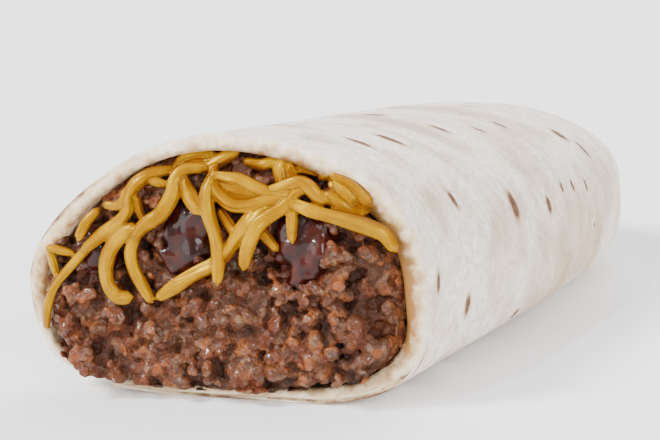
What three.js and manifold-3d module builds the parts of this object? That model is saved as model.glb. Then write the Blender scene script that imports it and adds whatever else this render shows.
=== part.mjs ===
// A beef and cheese burrito: seasoned ground beef, red sauce and melted cheddar shreds, rolled in a
// flour tortilla that is open at the front end and tucked shut at the far end.
// Millimetres, +Z up, the roll lies along Y with its open end toward -Y, resting on the plane Z = 0.

import * as THREE from 'three';
import { mergeVertices } from 'three/addons/utils/BufferGeometryUtils.js';
import Module from 'manifold-3d';

const wasm = await Module();
wasm.setup();

const { lerp, smoothstep, degToRad } = THREE.MathUtils;

// The roll's outer form. Half widths are measured from its middle line, heights from the table.
const ROLL_LENGTH = 165;
const ROLL_MIDDLE = { x: -1.4, y: 6.5 };
const OPEN_END = { left: 35.8, right: 35.8, height: 50.5 };
const FAR_END = { left: 36.4, right: 39.2, height: 41 };
const BELLY_HEIGHT = 0.43; // of the height, where the roll is widest
const SETTLE = 0.25; // how far its own weight presses the underside flat
const CUT_SLANT = 0.31; // how far the open end runs back for each millimetre to the right
const END_ROUND_START = 0.56; // of the length, where the closing curve of the far end begins
const END_ROUND = { width: 2.8, height: 3, middle: 0.5 };
const END_DRIFT = -0.9;

// Roundness of the section: 2 is an ellipse, more is squarer, less is more like a tent
const ROUNDNESS = { topLeft: 1.6, topFar: 2.2, topRight: 2.3, bottom: 3.6 };

// The flour tortilla
const WALL = 2.2;
const LIP_SWELL = 0.9;
const LIP_DEPTH = 9; // how far in from the open end the swelling of the lip fades out
const END_LAYERS = 2; // layers of tortilla that lie over each other in the tucked end
const FLAP = { angle: 238, step: 1.1, fade: 70, twist: 16 };
const TUCKS = [
  { angle: 6, depth: 2.1, spread: 9 },
  { angle: 62, depth: 0.5, spread: 8 },
  { angle: 118, depth: 0.6, spread: 8 },
  { angle: 186, depth: 2.1, spread: 9 },
  { angle: 262, depth: 0.8, spread: 9 },
  { angle: 314, depth: 0.7, spread: 8 },
];
const TUCK_DIMPLE = 1.5; // depth of the middle of the tucked end

// The filling
const GAP = 0.35; // clearance between neighbouring pieces
const FACE = { back: 1, topBack: 8, leftBack: 4.5, bulge: 3 };
const CRUMBLES = { seed: 11, tries: 3000, smallest: 1.9, largest: 3.4, spacing: 0.74, wallGap: 0.4 };
const CHEESE_BED = { left: -15, right: 18, thickness: 3.3, end: 58, forward: 1.5 };
const SAUCE = { thickness: 0.9, runWidth: 6.4, runDepth: 1.5 };
const STRAND_FORWARD = 3.2; // how far a shred's middle stands in front of the beef

// Shreds on the front, as seen from the front: start x and z, end x and z, how far the middle
// bows to the left of the way it runs, how far it sways to both sides, width, and lift.
const SHREDS = [
  [-5.3, 46, -18.4, 38.1, -1.2, 0.5, 2.1, 0.2],
  [-18.2, 38.3, -33, 13.5, -2.6, 0, 1.9, 0.2],
  [-4.2, 44, -15.9, 32.5, -1.2, -1.4, 2.1, 0.7],
  [-15.8, 32.8, -12.4, 20.2, -1.3, -0.5, 1.9, 0.7],
  [-15.3, 34.8, -17.3, 20.7, -4.9, 1, 2.2, 0.4],
  [-16.8, 40, -14.7, 34.6, 0.3, 0, 1.4, 0.2],
  [-22.6, 36.8, -17.2, 36.6, 0.2, 0, 1.6, 0],
  [-26, 31, -23.6, 34.6, 1.2, 0, 1.8, 0.2],
  [-33.2, 28.9, -27.4, 26.9, 0, 0, 1.7, 0],
  [-32.7, 28.9, -31, 23.3, -0.4, 0, 1.6, 0],
  [-3.9, 42.9, -0.7, 23.4, -0.4, 0, 2.1, 1.1],
  [-9.2, 40.4, 2.3, 32.7, -0.2, 0, 1.9, 0],
  [-11.1, 21, 5.4, 37.1, -2, 0, 2.1, 0.3],
  [4, 27, 10.5, 38.4, 1.3, 0, 2, 0.2],
  [-3.5, 41.9, 12.1, 39.9, -3.7, -0.9, 2.5, 0.3],
  [-3.4, 42.9, 16.4, 39.5, 0.4, -1, 2, 0.5],
  [-1.6, 40.5, 7, 39.4, -0.5, 0, 2.8, 0],
  [-9, 42, -3.2, 40, 0, 0, 2.5, 0],
  [0.4, 46.6, -4.6, 43.2, 0, 0.3, 1.8, 0.3],
  [8.2, 45.6, 8.9, 40.6, -0.2, 0, 2, 0.1],
  [3.2, 43, 8.6, 44.2, -0.5, 0, 1.5, 0],
  [14.3, 41.6, 18.4, 41.8, 1.1, 0, 1.9, 0.4],
  [14.2, 41.8, 23.6, 38, 0.6, 0, 2.6, 0.4],
  [15.4, 40, 24, 37.5, -0.9, 0, 2.3, 0.1],
  [10.4, 37.3, 29.3, 31.3, 2.3, -0.4, 1.9, 0.5],
  [10.3, 39.6, 12.3, 32.4, -0.2, 0, 1.7, 0],
  [5.2, 36.6, 8.8, 30.6, -0.5, 0, 1.7, 0],
  [11.6, 41.9, 16, 39, -0.6, 0, 1.9, 0],
];

// Where the sauce runs down the front: x at the top and bottom, z at the top and bottom
const SAUCE_RUNS = [
  [-8.4, -7.8, 43, 26.5],
  [11.4, 13, 42.4, 26],
];

const COLUMNS = 42;
const LIP_STATION = WALL / 2 / ROLL_LENGTH;
const STRAIGHT_STATIONS = [0.03, 0.075, 0.15, 0.25, 0.35, 0.45, 0.56];
const END_RINGS = 9;

function material(colour, roughness) {
  return new THREE.MeshStandardMaterial({ color: colour, roughness, metalness: 0 });
}

const FLOUR_TORTILLA = material('#e0d8cf', 0.8);
const GROUND_BEEF = material('#6e4733', 0.45);
const RED_SAUCE = material('#4b2118', 0.2);
const CHEDDAR = material('#e9a722', 0.35);

// Random numbers from 0 to 1 that are the same on each run
function seededRandom(seed) {
  let state = seed;
  return () => {
    state = (state + 0x6d2b79f5) | 0;
    let mixed = Math.imul(state ^ (state >>> 15), 1 | state);
    mixed = (mixed + Math.imul(mixed ^ (mixed >>> 7), 61 | mixed)) ^ mixed;
    return ((mixed ^ (mixed >>> 14)) >>> 0) / 4294967296;
  };
}

// Size of the roll's section at a station from 0, the open end, to 1, the far end
function sectionAt(station) {
  const closing = Math.max(0, (station - END_ROUND_START) / (1 - END_ROUND_START));
  return {
    left: lerp(OPEN_END.left, FAR_END.left, station),
    right: lerp(OPEN_END.right, FAR_END.right, smoothstep(station, 0, 0.5)),
    height: lerp(OPEN_END.height, FAR_END.height, station),
    narrow: (1 - closing ** END_ROUND.width) ** (1 / END_ROUND.width),
    flatten: (1 - closing ** END_ROUND.height) ** (1 / END_ROUND.height),
  };
}

// How far a unit section reaches at an angle, from its roundness there
function sectionReach(station, angle) {
  const across = Math.cos(angle);
  const up = Math.sin(angle);
  const topLeft = lerp(ROUNDNESS.topLeft, ROUNDNESS.topFar, smoothstep(station, 0, 0.6));
  const top = lerp(topLeft, ROUNDNESS.topRight, 0.5 + 0.5 * across);
  const power = up >= 0 ? top : ROUNDNESS.bottom;
  return (Math.abs(across) ** power + Math.abs(up) ** power) ** (-1 / power);
}

// Y of the slanting plane of the open end
function rimY(x) {
  return ROLL_MIDDLE.y - ROLL_LENGTH / 2 + CUT_SLANT * (x - ROLL_MIDDLE.x);
}

// Point of the roll's smooth outer form at a station and an angle in radians
function formPoint(station, angle) {
  const { left, right, height, narrow, flatten } = sectionAt(station);
  const reach = sectionReach(station, angle);
  const across = Math.cos(angle);
  const up = Math.sin(angle);
  const belly = BELLY_HEIGHT * height;
  const middle = END_ROUND.middle * height;
  const x = (across > 0 ? right : left) * across * reach * narrow;
  const z = belly + (up >= 0 ? height - belly : belly) * up * reach;
  return new THREE.Vector3(
    ROLL_MIDDLE.x + x + END_DRIFT * station ** 2,
    ROLL_MIDDLE.y - ROLL_LENGTH / 2 + ROLL_LENGTH * station + CUT_SLANT * x * (1 - station) ** 2,
    middle + (z - middle) * flatten - SETTLE,
  );
}

// Outward direction of the form, from its slopes along the roll and round it
function formNormal(station, angle) {
  const near = Math.min(station, 0.9985);
  const step = 0.001;
  const along = formPoint(near + step, angle).sub(formPoint(near - step, angle));
  const round = formPoint(near, angle + step).sub(formPoint(near, angle - step));
  return along.cross(round).normalize();
}

// Point a given depth under the form, measured square to it
function insetPoint(station, angle, depth) {
  return formPoint(station, angle).addScaledVector(formNormal(station, angle), -depth);
}

// Point on the middle of the far end, a given depth inside it
function farPole(depth) {
  const pole = formPoint(1, 0);
  pole.y -= depth;
  return pole;
}

// A closed surface from one pole over rings of points, which all have the same count, to another pole
function closedSurface(firstPole, rings, lastPole) {
  const columns = rings[0].length;
  const points = [firstPole, ...rings.flat(), lastPole];
  const last = points.length - 1;
  const at = (ring, column) => 1 + ring * columns + (column % columns);
  const faces = [];
  for (let column = 0; column < columns; column += 1) {
    faces.push(0, at(0, column + 1), at(0, column));
    for (let ring = 0; ring < rings.length - 1; ring += 1) {
      faces.push(at(ring, column), at(ring, column + 1), at(ring + 1, column));
      faces.push(at(ring, column + 1), at(ring + 1, column + 1), at(ring + 1, column));
    }
    faces.push(last, at(rings.length - 1, column), at(rings.length - 1, column + 1));
  }
  const geometry = new THREE.BufferGeometry().setFromPoints(points);
  geometry.setIndex(faces);
  return geometry;
}

// Stations of the rings along the closing curve of the far end, closer together where it turns in
function endStations(count) {
  const power = (END_ROUND.width + END_ROUND.height) / 2;
  return Array.from({ length: count - 1 }, (unused, index) => {
    const turn = (Math.PI / 2) * ((index + 1) / count);
    return lerp(END_ROUND_START, 1, Math.sin(turn) ** (2 / power));
  });
}

// Stations of the rings inside the roll, which the tortilla's inner face and the filling share
const INSIDE_STATIONS = [0.03, 0.075, 0.2, 0.38, END_ROUND_START, ...endStations(6)];

// Thickness of the tortilla, with its curled lip and the layers of the tucked end
function wallThickness(station, angle) {
  const lip = 1 - smoothstep(station * ROLL_LENGTH, 0, LIP_DEPTH);
  const top = 0.4 + 0.6 * Math.max(0, Math.sin(angle));
  const layers = lerp(1, END_LAYERS, smoothstep(station, 0.75, 0.95));
  return WALL * layers + LIP_SWELL * lip * top;
}

// Angles of the columns of points round the roll, with a pair at the two sides of the flap's edge
function columnAngles() {
  const spacing = 360 / COLUMNS;
  const even = Array.from({ length: COLUMNS }, (unused, index) => index * spacing);
  const clear = even.filter((angle) => Math.abs(angle - FLAP.angle) > spacing / 2);
  return [...clear, FLAP.angle - 0.9, FLAP.angle].sort((first, second) => first - second);
}

// Relief of the tortilla's outer face: the step at the flap's edge, and the tucks of the far end
function tortillaRelief(station, angle) {
  const beside = FLAP.angle - angle;
  const step = beside > 0 && beside < FLAP.fade ? FLAP.step * (1 - beside / FLAP.fade) ** 2 : 0;
  const tucked = smoothstep(station, 0.8, 0.93);
  const tucks = TUCKS.reduce((sum, tuck) => {
    const away = ((angle - tuck.angle + 540) % 360) - 180;
    return sum + tuck.depth * Math.exp(-((away / tuck.spread) ** 2));
  }, 0);
  return step + tucked * tucks;
}

// The angle that a column has at a station: columns near the flap's edge run round the roll a little
function columnAngle(station, angle) {
  const near = Math.max(0, Math.cos(degToRad(angle - FLAP.angle)));
  return degToRad(angle + FLAP.twist * station * near ** 2);
}

function makeTortilla() {
  const angles = columnAngles();
  const stations = [LIP_STATION, ...STRAIGHT_STATIONS, ...endStations(END_RINGS)];
  const outer = (station) => angles.map((angle) => {
    const point = insetPoint(station, columnAngle(station, angle), tortillaRelief(station, angle));
    point.z = Math.max(0, point.z);
    return point;
  });
  const inner = (station) => angles.map((angle) => {
    const turn = columnAngle(station, angle);
    return insetPoint(station, turn, wallThickness(station, turn));
  });
  const forward = new THREE.Vector3(CUT_SLANT, -1, 0).normalize();
  const lip = (turn) => {
    const inside = inner(LIP_STATION);
    return outer(LIP_STATION).map((outside, index) => {
      const middle = outside.clone().add(inside[index]).divideScalar(2);
      const half = outside.clone().sub(middle);
      const rise = Math.sin(turn) * Math.min(half.length(), WALL / 2);
      return middle.addScaledVector(half, Math.cos(turn)).addScaledVector(forward, rise);
    });
  };
  const rings = [
    ...stations.slice().reverse().map(outer),
    ...[0.25, 0.5, 0.75].map((share) => lip(share * Math.PI)),
    ...[LIP_STATION, ...INSIDE_STATIONS].map(inner),
  ];
  return closedSurface(farPole(TUCK_DIMPLE), rings, farPole(WALL * END_LAYERS));
}

// How far the filling's front lies behind the plane of the open end
function faceBack(x, z) {
  const top = FACE.topBack * smoothstep(z, 33, 47);
  const left = FACE.leftBack * smoothstep(-x, 20, 33) * smoothstep(z, 16, 26);
  return FACE.back + top + left;
}

// Where a point of the front lies between the middle of the filling, 0, and its edge, 1
function faceShare(x, z, inset) {
  const belly = BELLY_HEIGHT * OPEN_END.height;
  const halfHeight = (z + SETTLE > belly ? OPEN_END.height - belly : belly) - inset;
  const halfWidth = (x > ROLL_MIDDLE.x ? OPEN_END.right : OPEN_END.left) - inset;
  const across = (x - ROLL_MIDDLE.x) / halfWidth;
  const up = (z + SETTLE - belly) / halfHeight;
  const angle = Math.atan2(up, across);
  return Math.hypot(across, up) / sectionReach(0, angle);
}

// The filling's lower front swells out past the lip, away from its edge
function faceBulge(x, z) {
  const share = faceShare(x, z, WALL + GAP);
  return FACE.bulge * smoothstep(1 - share, 0.02, 0.3) * (1 - smoothstep(z, 10, 32));
}

// Uneven relief of a cut heap, about a millimetre high
function heapRelief(x, z) {
  const waves = Math.sin(1.1 * x + 0.6 * z) + Math.sin(0.7 * x - 1.3 * z + 2) + Math.sin(1.7 * z + 0.3 * x);
  return 0.3 * waves;
}

// The filling as one closed solid that fits in the tortilla, with its front moved forward
function fillingSurface(forward, rough) {
  const inset = WALL + GAP;
  const angles = columnAngles();
  const depthAt = (station, turn) => wallThickness(station, turn) + GAP;
  const edge = angles.map((angle) => {
    const turn = columnAngle(0, angle);
    const near = insetPoint(0, turn, inset + LIP_SWELL);
    const station = (faceBack(near.x, near.z) - forward) / ROLL_LENGTH;
    return insetPoint(station, turn, depthAt(Math.max(0, station), turn));
  });
  const rings = INSIDE_STATIONS.slice(1).reverse().map((station) => angles.map((angle) => {
    const turn = columnAngle(station, angle);
    return insetPoint(station, turn, depthAt(station, turn));
  }));
  const middle = new THREE.Vector3(ROLL_MIDDLE.x, 0, BELLY_HEIGHT * OPEN_END.height);
  const facePoint = (x, z) => {
    const relief = rough ? heapRelief(x, z) + faceBulge(x, z) : 0;
    return new THREE.Vector3(x, rimY(x) + faceBack(x, z) - forward - relief, z);
  };
  const face = [0.9, 0.76, 0.56, 0.3].map((share) => edge.map((point) => (
    facePoint(lerp(middle.x, point.x, share), lerp(middle.z, point.z, share))
  )));
  return closedSurface(farPole(WALL * END_LAYERS + GAP), [...rings, edge, ...face], facePoint(middle.x, middle.z));
}

// Turns a closed geometry into a solid that can be joined and cut
function solidFrom(geometry) {
  const bare = geometry.clone();
  bare.deleteAttribute('normal');
  bare.deleteAttribute('uv');
  const merged = mergeVertices(bare, 1e-4);
  return new wasm.Manifold(new wasm.Mesh({
    numProp: 3,
    vertProperties: new Float32Array(merged.attributes.position.array),
    triVerts: new Uint32Array(merged.index.array),
  }));
}

function geometryFrom(solid) {
  const { vertProperties, triVerts } = solid.getMesh();
  const geometry = new THREE.BufferGeometry();
  geometry.setAttribute('position', new THREE.BufferAttribute(vertProperties, 3));
  geometry.setIndex(new THREE.BufferAttribute(triVerts, 1));
  return geometry;
}

// The largest piece of a solid, without scraps that a cut left loose
function largestPiece(solid) {
  return solid.decompose().sort((first, second) => second.volume() - first.volume())[0];
}

// A block between two x planes and in front of a y plane, higher and longer than the roll
function slab(left, right, end) {
  const front = -ROLL_LENGTH;
  const block = new THREE.BoxGeometry(right - left, end - front, 4 * OPEN_END.height);
  block.translate((left + right) / 2, (front + end) / 2, 0);
  return solidFrom(block);
}

// The inside of the roll, lowered and carried far forward, which cuts a layer off the filling's top
function loweredInside(drop) {
  const forward = 60;
  return solidFrom(fillingSurface(forward, false)).translate(0, 0, -drop);
}

// The top layer of the filling between two depths under the tortilla
function topLayer(side, from, to, forward) {
  const whole = solidFrom(fillingSurface(forward, false));
  const block = slab(CHEESE_BED.left + side, CHEESE_BED.right - side, CHEESE_BED.end - side);
  const layer = whole.intersect(block).subtract(loweredInside(to));
  return from > 0 ? layer.intersect(loweredInside(from)) : layer;
}

// A round-ended rod bent along a path, wide across the path and of the given depth front to back
function bentRod(path, width, depth, sides) {
  const length = path.getLength();
  const steps = Math.max(3, Math.min(9, Math.round(length / 2.8)));
  const rings = Array.from({ length: steps + 1 }, (unused, index) => {
    const share = index / steps;
    const middle = path.getPointAt(share);
    const along = path.getTangentAt(share);
    const across = new THREE.Vector3(along.z, 0, -along.x).normalize();
    const out = across.clone().cross(along).normalize();
    const taper = 0.72 + 0.28 * Math.min(1, 5 * Math.min(share, 1 - share));
    return Array.from({ length: sides }, (none, side) => {
      const turn = (-2 * Math.PI * side) / sides;
      return middle.clone()
        .addScaledVector(across, (taper * width * Math.cos(turn)) / 2)
        .addScaledVector(out, (taper * depth * Math.sin(turn)) / 2);
    });
  });
  const overrun = 0.4 * Math.min(width, depth);
  const first = path.getPointAt(0).addScaledVector(path.getTangentAt(0), -overrun);
  const last = path.getPointAt(1).addScaledVector(path.getTangentAt(1), overrun);
  return closedSurface(first, rings, last);
}

// Path of a shred over the front of the filling; one that starts under the lip comes from inside
function shredPath([startX, startZ, endX, endZ, bow, sway, width, lift]) {
  const length = Math.hypot(endX - startX, endZ - startZ);
  const away = { x: -(endZ - startZ) / length, z: (endX - startX) / length };
  const points = Array.from({ length: 9 }, (unused, index) => {
    const share = index / 8;
    const aside = bow * Math.sin(Math.PI * share) + sway * Math.sin(2 * Math.PI * share);
    const x = lerp(startX, endX, share) + aside * away.x;
    const z = lerp(startZ, endZ, share) + aside * away.z;
    const back = 0.6 * FACE.topBack * smoothstep(z, 33, 47) + 0.6 * FACE.back;
    const root = startZ > 45 ? 5 * (1 - smoothstep(share, 0, 0.3)) : 0;
    return new THREE.Vector3(x, rimY(x) + back + root - STRAND_FORWARD - lift, z);
  });
  return new THREE.CatmullRomCurve3(points);
}

function makeCheese() {
  const bed = topLayer(0, 0, CHEESE_BED.thickness, CHEESE_BED.forward);
  return SHREDS.reduce((heap, shred) => {
    const width = shred[6];
    return heap.add(solidFrom(bentRod(shredPath(shred), width, 0.88 * width, 6)));
  }, bed);
}

// Path of a run of sauce down the front of the beef
function saucePath([topX, bottomX, topZ, bottomZ]) {
  const points = Array.from({ length: 7 }, (unused, index) => {
    const share = index / 6;
    const x = lerp(topX, bottomX, share);
    const z = lerp(topZ, bottomZ, share);
    return new THREE.Vector3(x, rimY(x) + faceBack(x, z) - faceBulge(x, z) - SAUCE.runDepth / 2, z);
  });
  return new THREE.CatmullRomCurve3(points);
}

function makeSauce(core) {
  const top = CHEESE_BED.thickness + GAP;
  const layer = topLayer(GAP, top, top + SAUCE.thickness, 0);
  const runs = SAUCE_RUNS.reduce((pool, run) => (
    pool.add(solidFrom(bentRod(saucePath(run), SAUCE.runWidth, SAUCE.runDepth, 8)))
  ), layer);
  const clearRuns = runs.subtract(core.translate(0, -GAP, 0)).subtract(core.translate(0, 0, GAP));
  return largestPiece(clearRuns.intersect(loweredInside(top)));
}

// Centre and size of each crumble on the front, set down at random where there is room
function crumblePlaces() {
  const random = seededRandom(CRUMBLES.seed);
  const shredPoints = SHREDS.flatMap((shred) => (
    shredPath(shred).getSpacedPoints(14).map((point) => ({ point, radius: shred[6] / 2 }))
  ));
  const saucePoints = SAUCE_RUNS.flatMap((run) => (
    saucePath(run).getSpacedPoints(10).map((point) => ({ point, radius: SAUCE.runWidth / 2 }))
  ));
  const blocks = [...shredPoints, ...saucePoints];
  const places = [];
  for (let attempt = 0; attempt < CRUMBLES.tries; attempt += 1) {
    const x = ROLL_MIDDLE.x + (random() * 2 - 1) * OPEN_END.right;
    const z = random() * OPEN_END.height;
    const size = lerp(CRUMBLES.smallest, CRUMBLES.largest, random() ** 1.4);
    const proud = size * (0.05 + 0.35 * random());
    const y = rimY(x) + faceBack(x, z) - faceBulge(x, z) - proud;
    const centre = new THREE.Vector3(x, y, z);
    const clearOfWall = faceShare(x, z, WALL + LIP_SWELL + CRUMBLES.wallGap + 1.1 * size) < 1;
    const clearOfBlocks = blocks.every(({ point, radius }) => (
      point.distanceTo(centre) > 1.12 * size + radius + GAP
    ));
    const clearOfOthers = places.every((other) => (
      other.centre.distanceTo(centre) > CRUMBLES.spacing * (other.size + size)
    ));
    if (clearOfWall && clearOfBlocks && clearOfOthers) {
      places.push({ centre, size });
    }
  }
  return places;
}

// One lump of browned ground beef, an uneven ball of few faces
function crumble({ centre, size }, random) {
  const ball = new THREE.IcosahedronGeometry(size, 0);
  ball.deleteAttribute('normal');
  ball.deleteAttribute('uv');
  const lump = mergeVertices(ball, 1e-4);
  const corners = lump.attributes.position;
  for (let index = 0; index < corners.count; index += 1) {
    const swell = 0.82 + 0.3 * random();
    corners.setXYZ(index, corners.getX(index) * swell, corners.getY(index) * swell, corners.getZ(index) * swell);
  }
  lump.rotateX(2 * Math.PI * random());
  lump.rotateZ(2 * Math.PI * random());
  lump.translate(centre.x, centre.y, centre.z);
  return solidFrom(lump);
}

// The room that the sauce and cheese layers take out of the filling's top
function makeTrench() {
  const depth = CHEESE_BED.thickness + SAUCE.thickness + 2 * GAP;
  const block = slab(CHEESE_BED.left - GAP, CHEESE_BED.right + GAP, CHEESE_BED.end + GAP);
  return block.subtract(loweredInside(depth));
}

function makeBeef(core, trench) {
  const random = seededRandom(CRUMBLES.seed + 1);
  const heap = crumblePlaces().reduce((sum, place) => sum.add(crumble(place, random)), core);
  return largestPiece(heap.subtract(trench));
}

const trench = makeTrench();
const beefCore = solidFrom(fillingSurface(0, true)).subtract(trench);

const burrito = new THREE.Group();

function addPiece(name, geometry, finish) {
  geometry.computeVertexNormals();
  const piece = new THREE.Mesh(geometry, finish);
  piece.name = name;
  burrito.add(piece);
}

addPiece('tortilla', makeTortilla(), FLOUR_TORTILLA);
addPiece('ground_beef', geometryFrom(makeBeef(beefCore, trench)), GROUND_BEEF);
addPiece('red_sauce', geometryFrom(makeSauce(beefCore)), RED_SAUCE);
addPiece('shredded_cheese', geometryFrom(makeCheese()), CHEDDAR);

export default burrito;
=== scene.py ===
import math
import random

import bpy
import numpy as np
from mathutils import Matrix, Vector, noise


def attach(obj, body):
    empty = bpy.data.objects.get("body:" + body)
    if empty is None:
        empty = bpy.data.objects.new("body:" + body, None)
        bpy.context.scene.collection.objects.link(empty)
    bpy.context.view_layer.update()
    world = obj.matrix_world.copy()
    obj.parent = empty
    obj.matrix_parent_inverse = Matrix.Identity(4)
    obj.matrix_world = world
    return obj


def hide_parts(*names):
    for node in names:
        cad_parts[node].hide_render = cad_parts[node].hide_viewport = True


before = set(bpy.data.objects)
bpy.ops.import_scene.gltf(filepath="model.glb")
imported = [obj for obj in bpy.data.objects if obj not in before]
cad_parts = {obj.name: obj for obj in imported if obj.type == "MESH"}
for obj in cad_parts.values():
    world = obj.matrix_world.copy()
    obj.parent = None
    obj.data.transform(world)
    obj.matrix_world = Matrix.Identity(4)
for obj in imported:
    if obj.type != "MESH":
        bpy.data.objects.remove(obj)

bl_info = {
    "name": "Beef and Cheese Burrito",
    "version": (1, 0, 0),
    "blender": (4, 5, 0),
    "location": "3D View > Sidebar > Burrito",
    "description": "Makes a flour tortilla rolled round ground beef, red sauce and melted cheddar shreds",
    "category": "Add Mesh",
}

MM = 0.001
# Keeps a divisor away from nothing
TINY = 1e-6
# The inputs of a node that mixes colours: the one below, and the one laid over it
UNDER = 6
OVER = 7

# The roll's form, as the frame has it
ROLL_LENGTH = 165
MIDDLE_X = -1.4
MIDDLE_Y = 6.5
OPEN_LEFT = 35.8
OPEN_RIGHT = 35.8
OPEN_HEIGHT = 50.5
FAR_LEFT = 36.4
FAR_RIGHT = 39.2
FAR_HEIGHT = 41
BELLY_HEIGHT = 0.43
SETTLE = 0.25
CUT_SLANT = 0.31
END_ROUND_START = 0.56
END_ROUND_WIDTH = 2.8
END_ROUND_HEIGHT = 3
END_MIDDLE = 0.5
END_DRIFT = -0.9
ROUND_TOP_LEFT = 1.6
ROUND_TOP_FAR = 2.2
ROUND_TOP_RIGHT = 2.3
ROUND_BOTTOM = 3.6

WALL = 2.2
LIP_SWELL = 0.9
LIP_DEPTH = 9
SOFT_LIP = 2.7
SOFT_LIP_ANGLE = 14
SOFT_LIP_SPREAD = 40
# Fuller places of the lip: angle round the roll, spread in degrees, and thickness
LIP_FOLDS = [(SOFT_LIP_ANGLE, SOFT_LIP_SPREAD, SOFT_LIP), (47, 16, 1.1), (-40, 17, 1.7)]
# The wall has more layers where the far end is tucked in, between these stations
END_LAYERS = 2
END_LAYERS_BETWEEN = (0.75, 0.95)
FLAP_ANGLE = 238
FLAP_STEP = 1.1
FLAP_FADE = 70
FLAP_TWIST = 16
TUCK_DIMPLE = 1.5
# Tucks of the far end set in between these stations
TUCKS_BETWEEN = (0.8, 0.93)
# Each one's angle round the roll, depth, and spread in degrees
TUCKS = [(6, 2.1, 9), (62, 0.5, 8), (118, 0.6, 8), (186, 2.1, 9), (262, 0.8, 9), (314, 0.7, 8)]

# The filling's front: how far back it lies, with more at the top and at the left, where it leans
FACE_BACK = 1
FACE_TOP_BACK = 4.1
FACE_LEFT_BACK = 4.5
# The upper left is fuller, so it leans back less
TOP_LEFT_FULLER = 0.55
LEFT_TOP_FULLER = 0.5
# Heights between which the front and the shreds lean back
LEAN_HEIGHTS = (33, 47)
FACE_BULGE = 3
FILLING_GAP = 0.35

# Toasted spots on the near side: distance from the open end, angle round the roll, length, width
TOAST_SPOTS = [
    (48.6, 22.5, 4.2, 1.1), (67.5, 18, 2.6, 0.9), (105.7, 47, 2.4, 1.3), (109.9, 37, 3, 1),
    (99.6, -2, 1.5, 1.1), (21, -13.5, 3.4, 0.8), (5.8, 4, 2.4, 0.6), (23.9, 31.5, 2.4, 0.6),
    (31.7, 63.5, 3.4, 0.8), (20.6, 65, 3, 0.8), (97.1, 95, 2.4, 0.8), (59.7, 88, 2.4, 0.9),
    (71.2, 59.5, 2, 0.7), (57.2, 64.5, 2, 0.7), (84.8, 60, 2.4, 0.8), (96.3, 20.5, 2, 0.6),
    (87.2, 22.5, 1.8, 0.6), (79.4, 23.5, 1.6, 0.6), (93.4, 5.5, 1.8, 0.6), (52.3, -34.5, 2, 0.7),
]
# Tan patches and marks on the lip, with their tone as well; places before 0 are on the lip
TAN_PATCHES = [
    (80, -14, 18, 7, 0.55), (62, -16.5, 15, 5, 0.45), (97, -15, 14, 6, 0.55), (50, 72, 10, 2.6, 0.6),
    (88, 74, 14, 4, 0.5), (70, 40, 16, 5, 0.35), (40, 8, 14, 4, 0.3), (110, 15, 12, 6, 0.4),
    (-1, 152, 12, 0.8, 1), (-2.6, 172, 5, 2, 0.8), (-1.6, 266, 12, 0.5, 1), (-2, 288, 15, 0.6, 0.9),
    (-3.6, 160, 9, 1.6, 0.5), (-2.2, 192, 4, 1, 0.75), (-1.5, 140, 8, 0.6, 0.8),
    (-1.2, 305, 9, 0.7, 1), (-2.6, 250, 8, 0.5, 0.9), (0.8, 320, 9, 0.8, 0.9), (-2, 130, 7, 1.6, 0.5),
    (-4.4, 33, 2.2, 1.1, 0.9), (-3.6, 52, 2.4, 1, 0.8), (-1.6, -42, 5, 0.5, 1), (-3, -50, 5, 0.5, 0.9),
]
# Random spots on the hidden sides, and faint ones all round: how many, and their angles round the roll
HIDDEN_SPOTS = 55
HIDDEN_ANGLES = (104, 318)
HIDDEN_SPOT_SIZES = (0.6, 0.8, 1, 1.3, 1.8)
FAINT_SPOTS = 110
FAINT_ANGLES = (-45, 320)
SPOT_PLACES = (4, 160)
SPOT_SEED = 3
SPOT_SLANT = 0.12
SPOT_GROWTH = (1.35, 2.3)
# A spot's strength falls off to this many of its own lengths from its middle
SPOT_REACH = 2
# The skin's maps hold lengths in parts of 100 mm
MAP_UNIT = 100

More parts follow.
